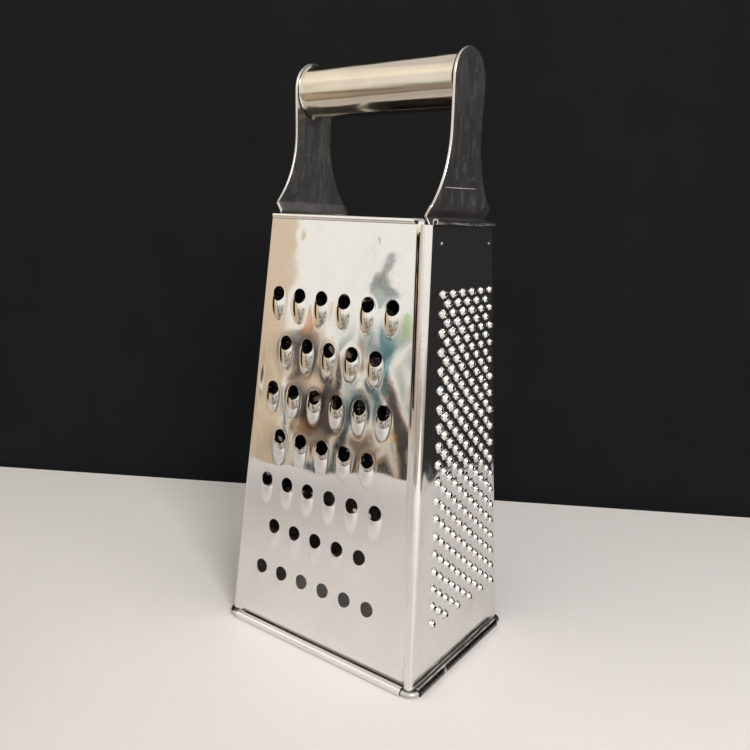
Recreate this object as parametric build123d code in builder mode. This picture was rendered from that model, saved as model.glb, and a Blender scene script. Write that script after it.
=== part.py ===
from build123d import *
from math import cos, pi, radians, sin, sqrt
import os

# Four-sided box grater of thin bright sheet steel with a tubular handle.
# Origin: middle of the footprint, on the surface it stands on. +Z up.
# -Y is the wide coarse face, +X the narrow rasp face. Millimetres.

# ---------------------------------------------------------------- dimensions
total_height = 240.0      # table to the top of the strap heads
body_height = 179.0       # height to which the face planes are measured
half_width_base = 48.5    # wide faces, outer plane of the narrow faces at z = 0
half_width_top = 38.5     # the same at z = body_height
half_depth_base = 35.5    # narrow faces, outer plane of the wide faces at z = 0
half_depth_top = 23.0     # the same at z = body_height

sheet = 0.35              # panel sheet thickness
gap = 0.02                # play between the folded layers of a seam
corner_radius = 2.0       # outer bend radius of a panel that wraps a corner
seam_width_top = 4.4      # width of the locked seam strip at the top
seam_width_base = 3.5     # and at the bottom
seam_web = 2.0            # set-back of the tucked edge from the corner

panel_low = 3.0           # the flat of the panels runs from here ...
panel_high = 176.8        # ... to here; hem and curl are beyond it
hem_inner = 0.72          # inner radius of the rolled hem on top
curl_inner = 1.45         # inner radius of the curl round the base wire
curl_centre_z = 1.74      # the curl's underside is pressed flat at z = 0
wire_radius = 1.2         # base wire
wire_bend = 4.0           # its corner radius

# coarse scoops of the front face
coarse_rows = 7
coarse_pitch_x = 11.4
coarse_pitch_z = 19.8
coarse_top_z = 146.5
coarse_shift_x = -3.9     # the pattern sits clear of the seam strip
coarse_hole_radius = 3.0
coarse_lip = 1.2          # height of the cutting lip over the face
coarse_hood_half = 4.1    # half width of the hood where it leaves the face
coarse_tail = 10.6        # the hood runs out this far below the hole's centre

# fine rasp of the right face
rasp_rows = 37
rasp_top_z = 152.1
rasp_base_z = 23.6
rasp_left_top, rasp_right_top = -15.2, 21.5
rasp_left_base, rasp_right_base = -21.4, 28.9
rasp_foot_radius = 1.9
rasp_tip_radius = 0.75
rasp_height = 1.2
rasp_hole_radius = 0.5

# medium scoops of the back face
medium_rows = 11
medium_pitch_x = 8.6
medium_pitch_z = 11.6
medium_top_z = 148.0
medium_shift = 2.2
medium_hole_radius = 1.6
medium_lip = 1.15
medium_hood_half = 2.3
medium_tail = 6.0

# slicer slots of the left face
slot_heights = (134.0, 95.0, 56.0)
slot_half_lengths = (16.0, 18.5, 21.0)
slot_opening = 2.4
slot_lip = 2.2
slot_ramp = 9.0

# handle
strap_thickness = 1.0
strap_plane = 37.4        # outer face of the straps
head_radius = 11.4
neck_half_width = 10.9
neck_z = 211.0
flare_radius = 40.0
flare_z = 183.2
foot_half_width = 22.0
tongue_half_width = 21.2
tongue_low = 161.0
joggle = 2.3              # the foot is set inwards by this much
tube_radius = 10.2
tube_wall = 0.5
flare_length = 3.0
tube_flare_radius = 11.1
cup_wall = 0.8
cup_depth = 8.0

handle_z = total_height - head_radius
layer = 3 * (sheet + gap)          # a seam strip stands this proud of the face


def half_width(z):
    return half_width_base + (half_width_top - half_width_base) * z / body_height


def half_depth(z):
    return half_depth_base + (half_depth_top - half_depth_base) * z / body_height


def seam_width(z):
    return seam_width_base + (seam_width_top - seam_width_base) * z / body_height


# Each face has its own flat coordinates: s along the face to the right as seen
# from outside, n outwards from the face plane.
def place(face, z, s, n):
    w, d = half_width(z), half_depth(z)
    return {
        "front": (s, -(d + n)),
        "right": (w + n, s),
        "back": (-s, d + n),
        "left": (-(w + n), -s),
    }[face]


def half_length(face, z):
    return half_width(z) if face in ("front", "back") else half_depth(z)


def face_distance(face, z):
    return half_depth(z) if face in ("front", "back") else half_width(z)


def end_profile(kind, a, z):
    """A panel's right-hand end in cross-section, from the outer surface round
    to the inner one. A covering end turns the corner and folds back under its
    own strip; a tucked end steps outwards and hooks into that fold."""
    wf = seam_width(z)
    r, p, t, g = corner_radius, layer, sheet, gap
    if kind == "cover":
        mid = sin(pi / 4)
        cs, cn = a + p - r, -r
        return [
            [(a + p - r, 0.0)],
            [(cs + r * mid, cn + r * mid), (a + p, -r)],
            [(a + p, -wf)],
            [(a + g, -wf)],
            [(a + g, -(seam_web + t + g))],
            [(a + g + t, -(seam_web + t + g))],
            [(a + g + t, -wf + t)],
            [(a + p - t, -wf + t)],
            [(a + p - t, -r)],
            [(cs + (r - t) * mid, cn + (r - t) * mid), (a + p - r, -t)],
        ]
    hook = wf - t - 0.25
    return [
        [(a - seam_web - t, 0.0)],
        [(a - seam_web - t, t + 2 * g)],
        [(a - hook, t + 2 * g)],
        [(a - hook, 2 * t + 2 * g)],
        [(a - seam_web, 2 * t + 2 * g)],
        [(a - seam_web, -t)],
    ]


def section_walk(left_kind, right_kind, a, z):
    """Closed walk round a panel's cross-section: single points are straight
    steps, pairs are arcs given by a middle and an end point."""
    walk = end_profile(right_kind, a, z)
    back = end_profile(left_kind, a, z)
    ends = [item[-1] for item in back]
    turned = [[(-ends[-1][0], ends[-1][1])]]
    for i in range(len(back) - 1, 0, -1):
        target = (-ends[i - 1][0], ends[i - 1][1])
        if len(back[i]) == 2:
            turned.append([(-back[i][0][0], back[i][0][1]), target])
        else:
            turned.append([target])
    return walk + turned


def ring_point(cx, cz, r, angle):
    return (cx + r * cos(radians(angle)), cz + r * sin(radians(angle)))


def edge_plane(face, s):
    """Vertical plane across a face: local x outwards, local y up. It looks
    along the face to the right, so a profile is extruded towards +s."""
    return {
        "front": Plane(origin=(s, 0, 0), x_dir=(0, -1, 0), z_dir=(-1, 0, 0)),
        "right": Plane(origin=(0, s, 0), x_dir=(1, 0, 0), z_dir=(0, -1, 0)),
        "back": Plane(origin=(-s, 0, 0), x_dir=(0, 1, 0), z_dir=(1, 0, 0)),
        "left": Plane(origin=(0, -s, 0), x_dir=(-1, 0, 0), z_dir=(0, 1, 0)),
    }[face]


def face_plane(face, s, z):
    """Plane on a face: local x to the right as seen from outside, local y up
    the face, local z outwards."""
    lean_w = (half_width_base - half_width_top) / body_height
    lean_d = (half_depth_base - half_depth_top) / body_height
    x, y = place(face, z, s, 0.0)
    normal = {
        "front": (0, -1, lean_d),
        "right": (1, 0, lean_w),
        "back": (0, 1, lean_d),
        "left": (-1, 0, lean_w),
    }[face]
    along = {"front": (1, 0, 0), "right": (0, 1, 0), "back": (-1, 0, 0), "left": (0, -1, 0)}[face]
    return Plane(origin=(x, y, z), x_dir=along, z_dir=normal)


def blank(face, left_kind, right_kind, hems, curl):
    """A panel before punching: the flat with its seam folds, the hem rolled
    outwards over the top, the curl rolled outwards under the bottom."""
    top = body_height - (hem_inner + sheet)
    low = curl_centre_z
    with BuildPart() as piece:
        for z in (panel_low, panel_high):
            a = half_length(face, z)
            walk = section_walk(left_kind, right_kind, a, z)
            with BuildSketch(Plane.XY.offset(z)):
                with BuildLine():
                    here = place(face, z, *walk[0][-1])
                    first = here
                    for item in walk[1:]:
                        there = place(face, z, *item[-1])
                        if len(item) == 2:
                            ThreePointArc(here, place(face, z, *item[0]), there)
                        else:
                            Line(here, there)
                        here = there
                    Line(here, first)
                make_face()
        loft(ruled=True)
        for s_from, s_to, turn in hems:
            q0, q1 = face_distance(face, panel_high), face_distance(face, top)
            c, ri, ro = q1 + hem_inner, hem_inner, hem_inner + sheet
            end, mid = 180.0 - turn, 180.0 - turn / 2
            with BuildSketch(edge_plane(face, s_to)):
                with BuildLine():
                    Line((q0 - sheet, panel_high), (q1 - sheet, top))
                    ThreePointArc((q1 - sheet, top), ring_point(c, top, ro, mid), ring_point(c, top, ro, end))
                    Line(ring_point(c, top, ro, end), ring_point(c, top, ri, end))
                    ThreePointArc(ring_point(c, top, ri, end), ring_point(c, top, ri, mid), (q1, top))
                    Line((q1, top), (q0, panel_high))
                    Line((q0, panel_high), (q0 - sheet, panel_high))
                make_face()
            extrude(amount=s_to - s_from)
        q0, q1 = face_distance(face, panel_low), face_distance(face, low)
        c, ri, ro = q1 + curl_inner, curl_inner, curl_inner + sheet
        turn = 288.0
        with BuildSketch(edge_plane(face, curl[1])):
            with BuildLine():
                Line((q0 - sheet, panel_low), (q1 - sheet, low))
                ThreePointArc(
                    (q1 - sheet, low), ring_point(c, low, ro, 180 + turn / 2), ring_point(c, low, ro, 180 + turn)
                )
                Line(ring_point(c, low, ro, 180 + turn), ring_point(c, low, ri, 180 + turn))
                ThreePointArc(ring_point(c, low, ri, 180 + turn), ring_point(c, low, ri, 180 + turn / 2), (q1, low))
                Line((q1, low), (q0, panel_low))
                Line((q0, panel_low), (q0 - sheet, panel_low))
            make_face()
        extrude(amount=curl[1] - curl[0])
        # the underside of the curl is pressed flat where the grater stands
        with BuildSketch(Plane.XY.offset(-1.0)):
            Rectangle(140, 120)
        extrude(amount=1.0, mode=Mode.SUBTRACT)
    return piece


def scoop(hole_r, lip, half, tail):
    """A pressed scoop: a teardrop hood that rises from the upper rim of the
    hole to the cutting lip and runs out to a point below it. The hood is a
    slim body of revolution whose axis lies behind the face, so that its
    cross-sections are flat arches. Outer body, hollow and mouth."""
    sink = (half**2 - lip**2) / (2 * lip)
    head = hole_r + 0.9
    points = [(head, -0.16), (-hole_r, lip), (-tail, -0.16)]
    with BuildPart() as outer:
        with BuildSketch(Plane.YZ):
            with BuildLine():
                crest = ThreePointArc(*points)
                Polyline(crest @ 1, (-tail, -sink), (head, -sink), crest @ 0)
            make_face()
        revolve(axis=Axis((0, 0, -sink), (0, 1, 0)))
        with BuildSketch(Plane.XY.offset(-sheet / 2)):
            Rectangle(6 * half, 4 * tail)
        extrude(amount=-4 * half, mode=Mode.SUBTRACT)
    with BuildPart() as hollow:
        with BuildSketch(Plane.YZ):
            with BuildLine():
                inside = ThreePointArc(*[(y, z - sheet) for y, z in points])
                Polyline(inside @ 1, (-tail, -sink), (head, -sink), inside @ 0)
            make_face()
        revolve(axis=Axis((0, 0, -sink), (0, 1, 0)))
        with BuildSketch(Plane.XY.offset(-1.2)):
            Rectangle(6 * half, 4 * tail)
        extrude(amount=-4 * half, mode=Mode.SUBTRACT)
    with BuildPart() as mouth:
        with BuildSketch(Plane.XY.offset(-2.0)):
            Circle(hole_r)
        extrude(amount=2.0 + lip + 1.5)
    return outer.part, hollow.part, mouth.part


def export(name, builder):
    builder.part.label = name
    export_step(builder.part, "parts/" + name + ".step")
    print(name, "solids", len(builder.part.solids()), "volume", round(builder.part.volume, 1))


os.makedirs("parts", exist_ok=True)

w_top, w_low = half_width(panel_high), half_width(panel_low)
d_top, d_low = half_depth(panel_high), half_depth(panel_low)
full, partial = 250.0, 110.0       # how far a hem is rolled

# ---------------------------------------------------------------- front panel
front_blank = blank(
    "front", "cover", "tucked",
    [(-w_top + 2.0, w_top - 6.8, full), (w_top - 6.8, w_top - 3.4, partial)],
    (-w_low + 4.5, w_low - 3.8),
)
hood, hood_hollow, hood_mouth = scoop(coarse_hole_radius, coarse_lip, coarse_hood_half, coarse_tail)
coarse_spots = []
for row in range(coarse_rows):
    count = 6 if row % 2 == 0 else 5
    for i in range(count):
        x = coarse_shift_x + (i - (count - 1) / 2) * coarse_pitch_x
        coarse_spots.append(Location(face_plane("front", x, coarse_top_z - row * coarse_pitch_z)))

with BuildPart() as front_panel:
    add(front_blank.part)
    with Locations(*coarse_spots):
        add(hood)
    with Locations(*coarse_spots):
        add(hood_hollow, mode=Mode.SUBTRACT)
    with Locations(*coarse_spots):
        add(hood_mouth, mode=Mode.SUBTRACT)
export("front_panel", front_panel)

# ---------------------------------------------------------------- right panel
right_blank = blank(
    "right", "cover", "cover",
    [(-d_top + 0.4, d_top - 0.4, full)],
    (-d_low + 1.8, d_low - 4.8),
)
rasp_spots = []
for row in range(rasp_rows):
    f = row / (rasp_rows - 1)
    z = rasp_top_z + (rasp_base_z - rasp_top_z) * f
    left = rasp_left_top + (rasp_left_base - rasp_left_top) * f
    right = rasp_right_top + (rasp_right_base - rasp_right_top) * f
    pitch = (right - left) / 5
    for i in range(6 if row % 2 == 0 else 5):
        y = left + (i + (0.0 if row % 2 == 0 else 0.5)) * pitch
        rasp_spots.append(Location(face_plane("right", y, z)))

# each point is bored through the sheet and its burst cone set round the bore
flank = (rasp_foot_radius - rasp_tip_radius) / rasp_height
with BuildPart() as rasp_bore:
    with BuildSketch(Plane.XY.offset(-1.0)):
        Circle(rasp_foot_radius - 0.15)
    extrude(amount=2.0)
with BuildPart() as rasp_cone:
    with BuildSketch(Plane.XZ):
        with BuildLine():
            Polyline(
                (rasp_foot_radius + flank * sheet / 2, -sheet / 2), (rasp_tip_radius, rasp_height),
                (rasp_hole_radius, rasp_height), (rasp_hole_radius, rasp_height - 0.4),
                (rasp_hole_radius + flank * (rasp_height - 0.4 + sheet / 2), -sheet / 2), close=True,
            )
        make_face()
    revolve(axis=Axis.Z)

with BuildPart() as right_panel:
    add(right_blank.part)
    with Locations(*rasp_spots):
        add(rasp_bore.part, mode=Mode.SUBTRACT)
    with Locations(*rasp_spots):
        add(rasp_cone.part)
export("right_panel", right_panel)

# ----------------------------------------------------------------- back panel
back_blank = blank(
    "back", "tucked", "cover",
    [(-w_top + 6.8, w_top - 2.0, full), (-w_top + 3.4, -w_top + 6.8, partial)],
    (-w_low + 3.8, w_low - 4.5),
)
small_hood, small_hollow, small_mouth = scoop(medium_hole_radius, medium_lip, medium_hood_half, medium_tail)
medium_spots = []
for row in range(medium_rows):
    count = 8 if row % 2 == 0 else 7
    for i in range(count):
        s = medium_shift + (i - (count - 1) / 2) * medium_pitch_x
        medium_spots.append(Location(face_plane("back", s, medium_top_z - row * medium_pitch_z)))

with BuildPart() as back_panel:
    add(back_blank.part)
    with Locations(*medium_spots):
        add(small_hood)
    with Locations(*medium_spots):
        add(small_hollow, mode=Mode.SUBTRACT)
    with Locations(*medium_spots):
        add(small_mouth, mode=Mode.SUBTRACT)
export("back_panel", back_panel)

# ----------------------------------------------------------------- left panel
left_blank = blank(
    "left", "tucked", "tucked",
    [
        (-d_top + 6.8, d_top - 6.8, full),
        (-d_top + 3.4, -d_top + 6.8, partial),
        (d_top - 6.8, d_top - 3.4, partial),
    ],
    (-d_low + 3.8, d_low - 3.8),
)
with BuildPart() as left_panel:
    add(left_blank.part)
    # each blade is a ramp that rises to a lip; the slot is open above it
    for z, half in zip(slot_heights, slot_half_lengths):
        spot = face_plane("left", 0.0, z)
        with BuildSketch(Plane(origin=spot.origin - spot.x_dir * half, x_dir=spot.y_dir, z_dir=spot.x_dir)):
            with BuildLine():
                Polyline(
                    (-slot_ramp, -sheet / 2), (0, -sheet / 2), (0, slot_lip), (-1.2, slot_lip), (-slot_ramp, 0),
                    close=True,
                )
            make_face()
        extrude(amount=2 * half)
        with BuildSketch(Plane(origin=spot.origin - spot.x_dir * (half - sheet), x_dir=spot.y_dir, z_dir=spot.x_dir)):
            with BuildLine():
                Polyline(
                    (-slot_ramp + 0.8, -1.0), (slot_opening, -1.0), (slot_opening, slot_lip - sheet),
                    (-1.2, slot_lip - sheet), (-slot_ramp + 0.8, -sheet * 0.6),
                    close=True,
                )
            make_face()
        extrude(amount=2 * (half - sheet), mode=Mode.SUBTRACT)
export("left_panel", left_panel)

# ------------------------------------------------------------- base wire ring
wire_x = half_width(curl_centre_z) + curl_inner
wire_y = half_depth(curl_centre_z) + curl_inner
wire_z = curl_centre_z - curl_inner + wire_radius + gap
with BuildSketch(Plane.XY.offset(wire_z)) as wire_outline:
    RectangleRounded(2 * wire_x, 2 * wire_y, wire_bend)
wire_path = wire_outline.sketch.faces()[0].outer_wire()
with BuildPart() as base_wire_ring:
    with BuildSketch(Plane(origin=wire_path @ 0, z_dir=wire_path % 0)):
        Circle(wire_radius)
    sweep(path=wire_path)
export("base_wire_ring", base_wire_ring)


# --------------------------------------------------------------------- straps
def panel_inside(z):
    return half_width(z) - sheet - gap


def strap(side):
    """A strap: flat head and neck, flared foot, and a tongue that is set
    inwards past the hem and then lies against the inside of the panel."""
    t = strap_thickness
    outer_line = [
        (side * strap_plane, total_height + 1), (side * strap_plane, 183.4),
        (side * (strap_plane - joggle), 179.6), (side * panel_inside(173.0), 173.0),
        (side * panel_inside(tongue_low), tongue_low),
    ]
    inner_line = [
        (side * (strap_plane - t), total_height + 1), (side * (strap_plane - t), 183.7),
        (side * (strap_plane - joggle - t * 1.12), 179.5), (side * (panel_inside(172.6) - t), 172.6),
        (side * (panel_inside(tongue_low) - t), tongue_low),
    ]
    dz = neck_z - flare_z
    half_bulge = flare_radius - sqrt(flare_radius**2 - (dz / 2) ** 2)
    bulge = flare_radius - sqrt(flare_radius**2 - dz**2)
    with BuildPart() as piece:
        with BuildSketch(Plane.XZ.offset(-30)):
            with BuildLine():
                Polyline(*outer_line, *reversed(inner_line), close=True)
            make_face()
        extrude(amount=60)
        bends = [e for e in piece.edges().filter_by(Axis.Y) if 171.5 < e.center().Z < 184.5]
        fillet(bends, radius=0.8)
        # outline seen from the side
        with BuildSketch(Plane.YZ.offset(-60)):
            with BuildLine():
                ThreePointArc((-head_radius, handle_z), (0, total_height), (head_radius, handle_z))
                Spline((head_radius, handle_z), (neck_half_width, neck_z), tangents=((0, -1), (0, -1)))
                ThreePointArc(
                    (neck_half_width, neck_z), (neck_half_width + half_bulge, neck_z - dz / 2),
                    (neck_half_width + bulge, flare_z),
                )
                Polyline(
                    (neck_half_width + bulge, flare_z), (foot_half_width, 179.6), (tongue_half_width, 176.0),
                    (tongue_half_width, tongue_low + 3), (tongue_half_width - 3, tongue_low - 1),
                    (-tongue_half_width + 3, tongue_low - 1), (-tongue_half_width, tongue_low + 3),
                    (-tongue_half_width, 176.0), (-foot_half_width, 179.6), (-neck_half_width - bulge, flare_z),
                )
                ThreePointArc(
                    (-neck_half_width - bulge, flare_z), (-neck_half_width - half_bulge, neck_z - dz / 2),
                    (-neck_half_width, neck_z),
                )
                Spline((-neck_half_width, neck_z), (-head_radius, handle_z), tangents=((0, 1), (0, 1)))
            make_face()
        extrude(amount=120, mode=Mode.INTERSECT)
    return piece


right_strap = strap(1)
export("right_strap", right_strap)
left_strap = strap(-1)
export("left_strap", left_strap)

# ---------------------------------------------------------------- handle tube
tube_half = strap_plane - strap_thickness - gap
with BuildPart() as handle_tube:
    with BuildSketch(Plane.XZ):
        with BuildLine():
            x1, x2 = tube_half - flare_length, tube_half
            z1, z2 = handle_z + tube_radius, handle_z + tube_flare_radius
            Line((-x1, z1), (x1, z1))
            Spline((x1, z1), (x2, z2), tangents=((1, 0), (1, 0.9)))
            Line((x2, z2), (x2, z2 - tube_wall))
            Spline((x2, z2 - tube_wall), (x1, z1 - tube_wall), tangents=((-1, -0.9), (-1, 0)))
            Line((x1, z1 - tube_wall), (-x1, z1 - tube_wall))
            Spline((-x1, z1 - tube_wall), (-x2, z2 - tube_wall), tangents=((-1, 0), (-1, 0.9)))
            Line((-x2, z2 - tube_wall), (-x2, z2))
            Spline((-x2, z2), (-x1, z1), tangents=((1, -0.9), (1, 0)))
        make_face()
    revolve(axis=Axis((0, 0, handle_z), (1, 0, 0)))
export("handle_tube", handle_tube)


# ------------------------------------------------------------------- end cups
def end_cup(side):
    """Pressed cup, its floor against the strap head, its wall in the tube."""
    r = tube_radius - tube_wall - gap
    x0, x1 = side * tube_half, side * (tube_half - cup_depth)
    with BuildPart() as piece:
        with BuildSketch(Plane.XZ):
            with BuildLine():
                Polyline(
                    (x0, handle_z), (x0, handle_z + r), (x1, handle_z + r), (x1, handle_z + r - cup_wall),
                    (x0 - side * cup_wall, handle_z + r - cup_wall), (x0 - side * cup_wall, handle_z), close=True,
                )
            make_face()
        revolve(axis=Axis((0, 0, handle_z), (1, 0, 0)))
    return piece


right_end_cup = end_cup(1)
export("right_end_cup", right_end_cup)
left_end_cup = end_cup(-1)
export("left_end_cup", left_end_cup)
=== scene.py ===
import math
import random

import bmesh
import bpy
import numpy as np
from mathutils import Matrix, Vector


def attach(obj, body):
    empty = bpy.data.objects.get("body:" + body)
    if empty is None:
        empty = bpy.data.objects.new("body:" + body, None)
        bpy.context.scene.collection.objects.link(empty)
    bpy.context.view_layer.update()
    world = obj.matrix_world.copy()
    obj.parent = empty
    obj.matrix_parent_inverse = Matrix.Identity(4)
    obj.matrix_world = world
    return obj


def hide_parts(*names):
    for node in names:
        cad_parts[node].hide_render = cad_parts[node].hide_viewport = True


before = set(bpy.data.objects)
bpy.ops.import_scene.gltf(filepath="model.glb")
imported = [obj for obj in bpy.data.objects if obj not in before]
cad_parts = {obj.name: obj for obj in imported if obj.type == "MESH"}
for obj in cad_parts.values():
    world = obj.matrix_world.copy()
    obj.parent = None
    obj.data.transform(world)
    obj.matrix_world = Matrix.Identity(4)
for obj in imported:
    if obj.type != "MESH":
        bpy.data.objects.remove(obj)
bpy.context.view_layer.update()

random.seed(7)
rng = np.random.default_rng(7)
MM = 0.001

# ------------------------------------------------------------------ sizes, mm
TOTAL, BODY = 240.0, 179.0
W0, W1, D0, D1 = 48.5, 38.5, 35.5, 23.0
T, GAP = 0.35, 0.02
RC = 2.0                      # outer radius of a wrapped corner
LAYER = 3 * (T + GAP)         # a seam strip stands this proud of the face
WEB = 2.0
LOW, HIGH = 3.0, 176.8
HEM_R, CURL_R, CURL_Z, CURL_TURN = 0.72, 1.45, 1.74, 308
WIRE_R, WIRE_BEND = 1.2, 4.0
HEM_TOP = BODY - (HEM_R + T)


def hw(z):
    return W0 + (W1 - W0) * z / BODY


def hd(z):
    return D0 + (D1 - D0) * z / BODY


def seam(z):
    return 3.5 + 0.9 * z / BODY


def smooth(x):
    x = np.clip(x, 0.0, 1.0)
    return x * x * (3 - 2 * x)


# ------------------------------------------------------------- mesh utilities
class Builder:
    """Collects patches in a face's flat coordinates: s to the right as seen
    from outside, q outwards from the axis, z up."""

    def __init__(self):
        self.v, self.f, self.n = [], [], 0

    def grid(self, P, keep=None):
        rows, cols = P.shape[:2]
        idx = np.arange(rows * cols).reshape(rows, cols) + self.n
        self.v.append(P.reshape(-1, 3))
        self.n += rows * cols
        quads = np.stack([idx[:-1, :-1], idx[:-1, 1:], idx[1:, 1:], idx[1:, :-1]], axis=-1)
        if keep is not None:
            quads = quads[keep]
        self.f.extend(quads.reshape(-1, 4).tolist())

    def polar(self, rings):
        """rings[j][i]: j from the outer boundary inwards, i anticlockwise."""
        m, k = rings.shape[:2]
        idx = np.arange(m * k).reshape(m, k) + self.n
        self.v.append(rings.reshape(-1, 3))
        self.n += m * k
        nxt = np.roll(idx, -1, axis=1)
        quads = np.stack([idx[:-1], nxt[:-1], nxt[1:], idx[1:]], axis=-1)
        self.f.extend(quads.reshape(-1, 4).tolist())

    def arrays(self):
        return np.concatenate(self.v), self.f


def to_world(face, P):
    s, q, z = P[:, 0], P[:, 1], P[:, 2]
    x, y = {"front": (s, -q), "right": (q, s), "back": (-s, q), "left": (-q, -s)}[face]
    return np.stack([x, y, z], axis=1) * MM


def make_object(name, verts, faces, weld=2e-6):
    me = bpy.data.meshes.new(name)
    bm = bmesh.new()
    vs = [bm.verts.new(v) for v in verts.tolist()]
    for f in faces:
        try:
            bm.faces.new([vs[i] for i in f])
        except ValueError:
            pass
    if weld:
        bmesh.ops.remove_doubles(bm, verts=bm.verts, dist=weld)
    loose = [v for v in bm.verts if not v.link_faces]
    bmesh.ops.delete(bm, geom=loose, context="VERTS")
    bm.to_mesh(me)
    bm.free()
    ob = bpy.data.objects.new(name, me)
    bpy.context.scene.collection.objects.link(ob)
    return ob


def bake_modifiers(ob):
    dg = bpy.context.evaluated_depsgraph_get()
    me = bpy.data.meshes.new_from_object(ob.evaluated_get(dg))
    ob.modifiers.clear()
    old = ob.data
    ob.data = me
    bpy.data.meshes.remove(old)


def shade(ob, angle=40.0):
    """Smooth shading with creases kept where two faces meet steeply."""
    bm = bmesh.new()
    bm.from_mesh(ob.data)
    limit = math.radians(angle)
    for f in bm.faces:
        f.smooth = True
    for e in bm.edges:
        e.smooth = not (len(e.link_faces) == 2 and e.calc_face_angle(0.0) > limit)
    bm.to_mesh(ob.data)
    bm.free()


def thicken(ob, t, angle=40.0, full=None):
    """Gives the sheet its thickness inwards. full(x, y, z) says how much of
    it is left, from 1 down to 0 where a punched edge is drawn thin."""
    m = ob.modifiers.new("sheet", "SOLIDIFY")
    m.thickness, m.offset, m.use_even_offset, m.use_rim = t * MM, -1.0, True, True
    m.thickness_clamp = 0.0
    if full is not None:
        co = np.empty(len(ob.data.vertices) * 3)
        ob.data.vertices.foreach_get("co", co)
        co = co.reshape(-1, 3) / MM
        w = np.round(full(co[:, 0], co[:, 1], co[:, 2]) * 20).astype(int)
        group = ob.vertex_groups.new(name="sheet")
        for level in range(1, 21):
            at = np.nonzero(w == level)[0].tolist()
            if at:
                group.add(at, level / 20, "REPLACE")
        m.vertex_group = "sheet"
        m.thickness_vertex_group = 0.22
    bake_modifiers(ob)
    ob.vertex_groups.clear()
    shade(ob, angle)


# ------------------------------------------------------------ panel end folds
def cover_end(z, a, fold=True):
    """Outer surface of a panel that wraps the corner, as (s, n) points going
    away from the flat: the bend, the strip, the folded edge."""
    r, p, wf = RC, LAYER, seam(z)
    pts = []
    for k in range(1, 9):
        b = math.radians(90 * k / 8)
        pts.append((a + p - r + r * math.sin(b), -r + r * math.cos(b)))
    drop = 0.17
    rf = (p - drop) / 2
    lip = -wf + rf
    for k in range(1, 17):
        f = k / 16
        ripple = 0.019 * math.sin(13.8 * f + 0.3 * math.sin(0.05 * z)) * math.sin(math.pi * f)
        pts.append((a + p - drop * f * f + ripple, -r + (lip + r) * f))
    for k in range(1, 9):
        b = math.radians(180 * k / 8)
        pts.append((a + rf + rf * math.cos(b), lip - rf * math.sin(b)))
    pts.append((a + 0.001, -(WEB + T + GAP)))
    return pts


def tucked_end(z, a):
    """Outer surface of a panel end that steps out and hooks into the fold."""
    t, g, wf = T, GAP, seam(z)
    hook = wf - t - 0.25
    return [
        (a - WEB - t, 0.12), (a - WEB - t, t + 2 * g), (a - (hook + WEB + t) / 2, t + 2 * g), (a - hook, t + 2 * g),
    ]


def half(face, z):
    return hw(z) if face in ("front", "back") else hd(z)


def fd(face, z):
    return hd(z) if face in ("front", "back") else hw(z)


# ---------------------------------------------------------------- panel maker
def wave(face, s, z):
    """Slight unevenness of the drawn sheet; it bends what it mirrors."""
    k = {"front": 0.3, "right": 1.7, "back": 2.9, "left": 4.1}[face]
    w = (
        0.060 * np.sin(s * 0.075 + k) * np.cos(z * 0.045 + 2 * k)
        + 0.035 * np.sin(z * 0.11 + s * 0.05 + 3 * k)
        + 0.018 * np.sin(s * 0.23 - z * 0.13 + k) * np.sin(z * 0.21 + 0.5)
    )
    return w


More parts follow.
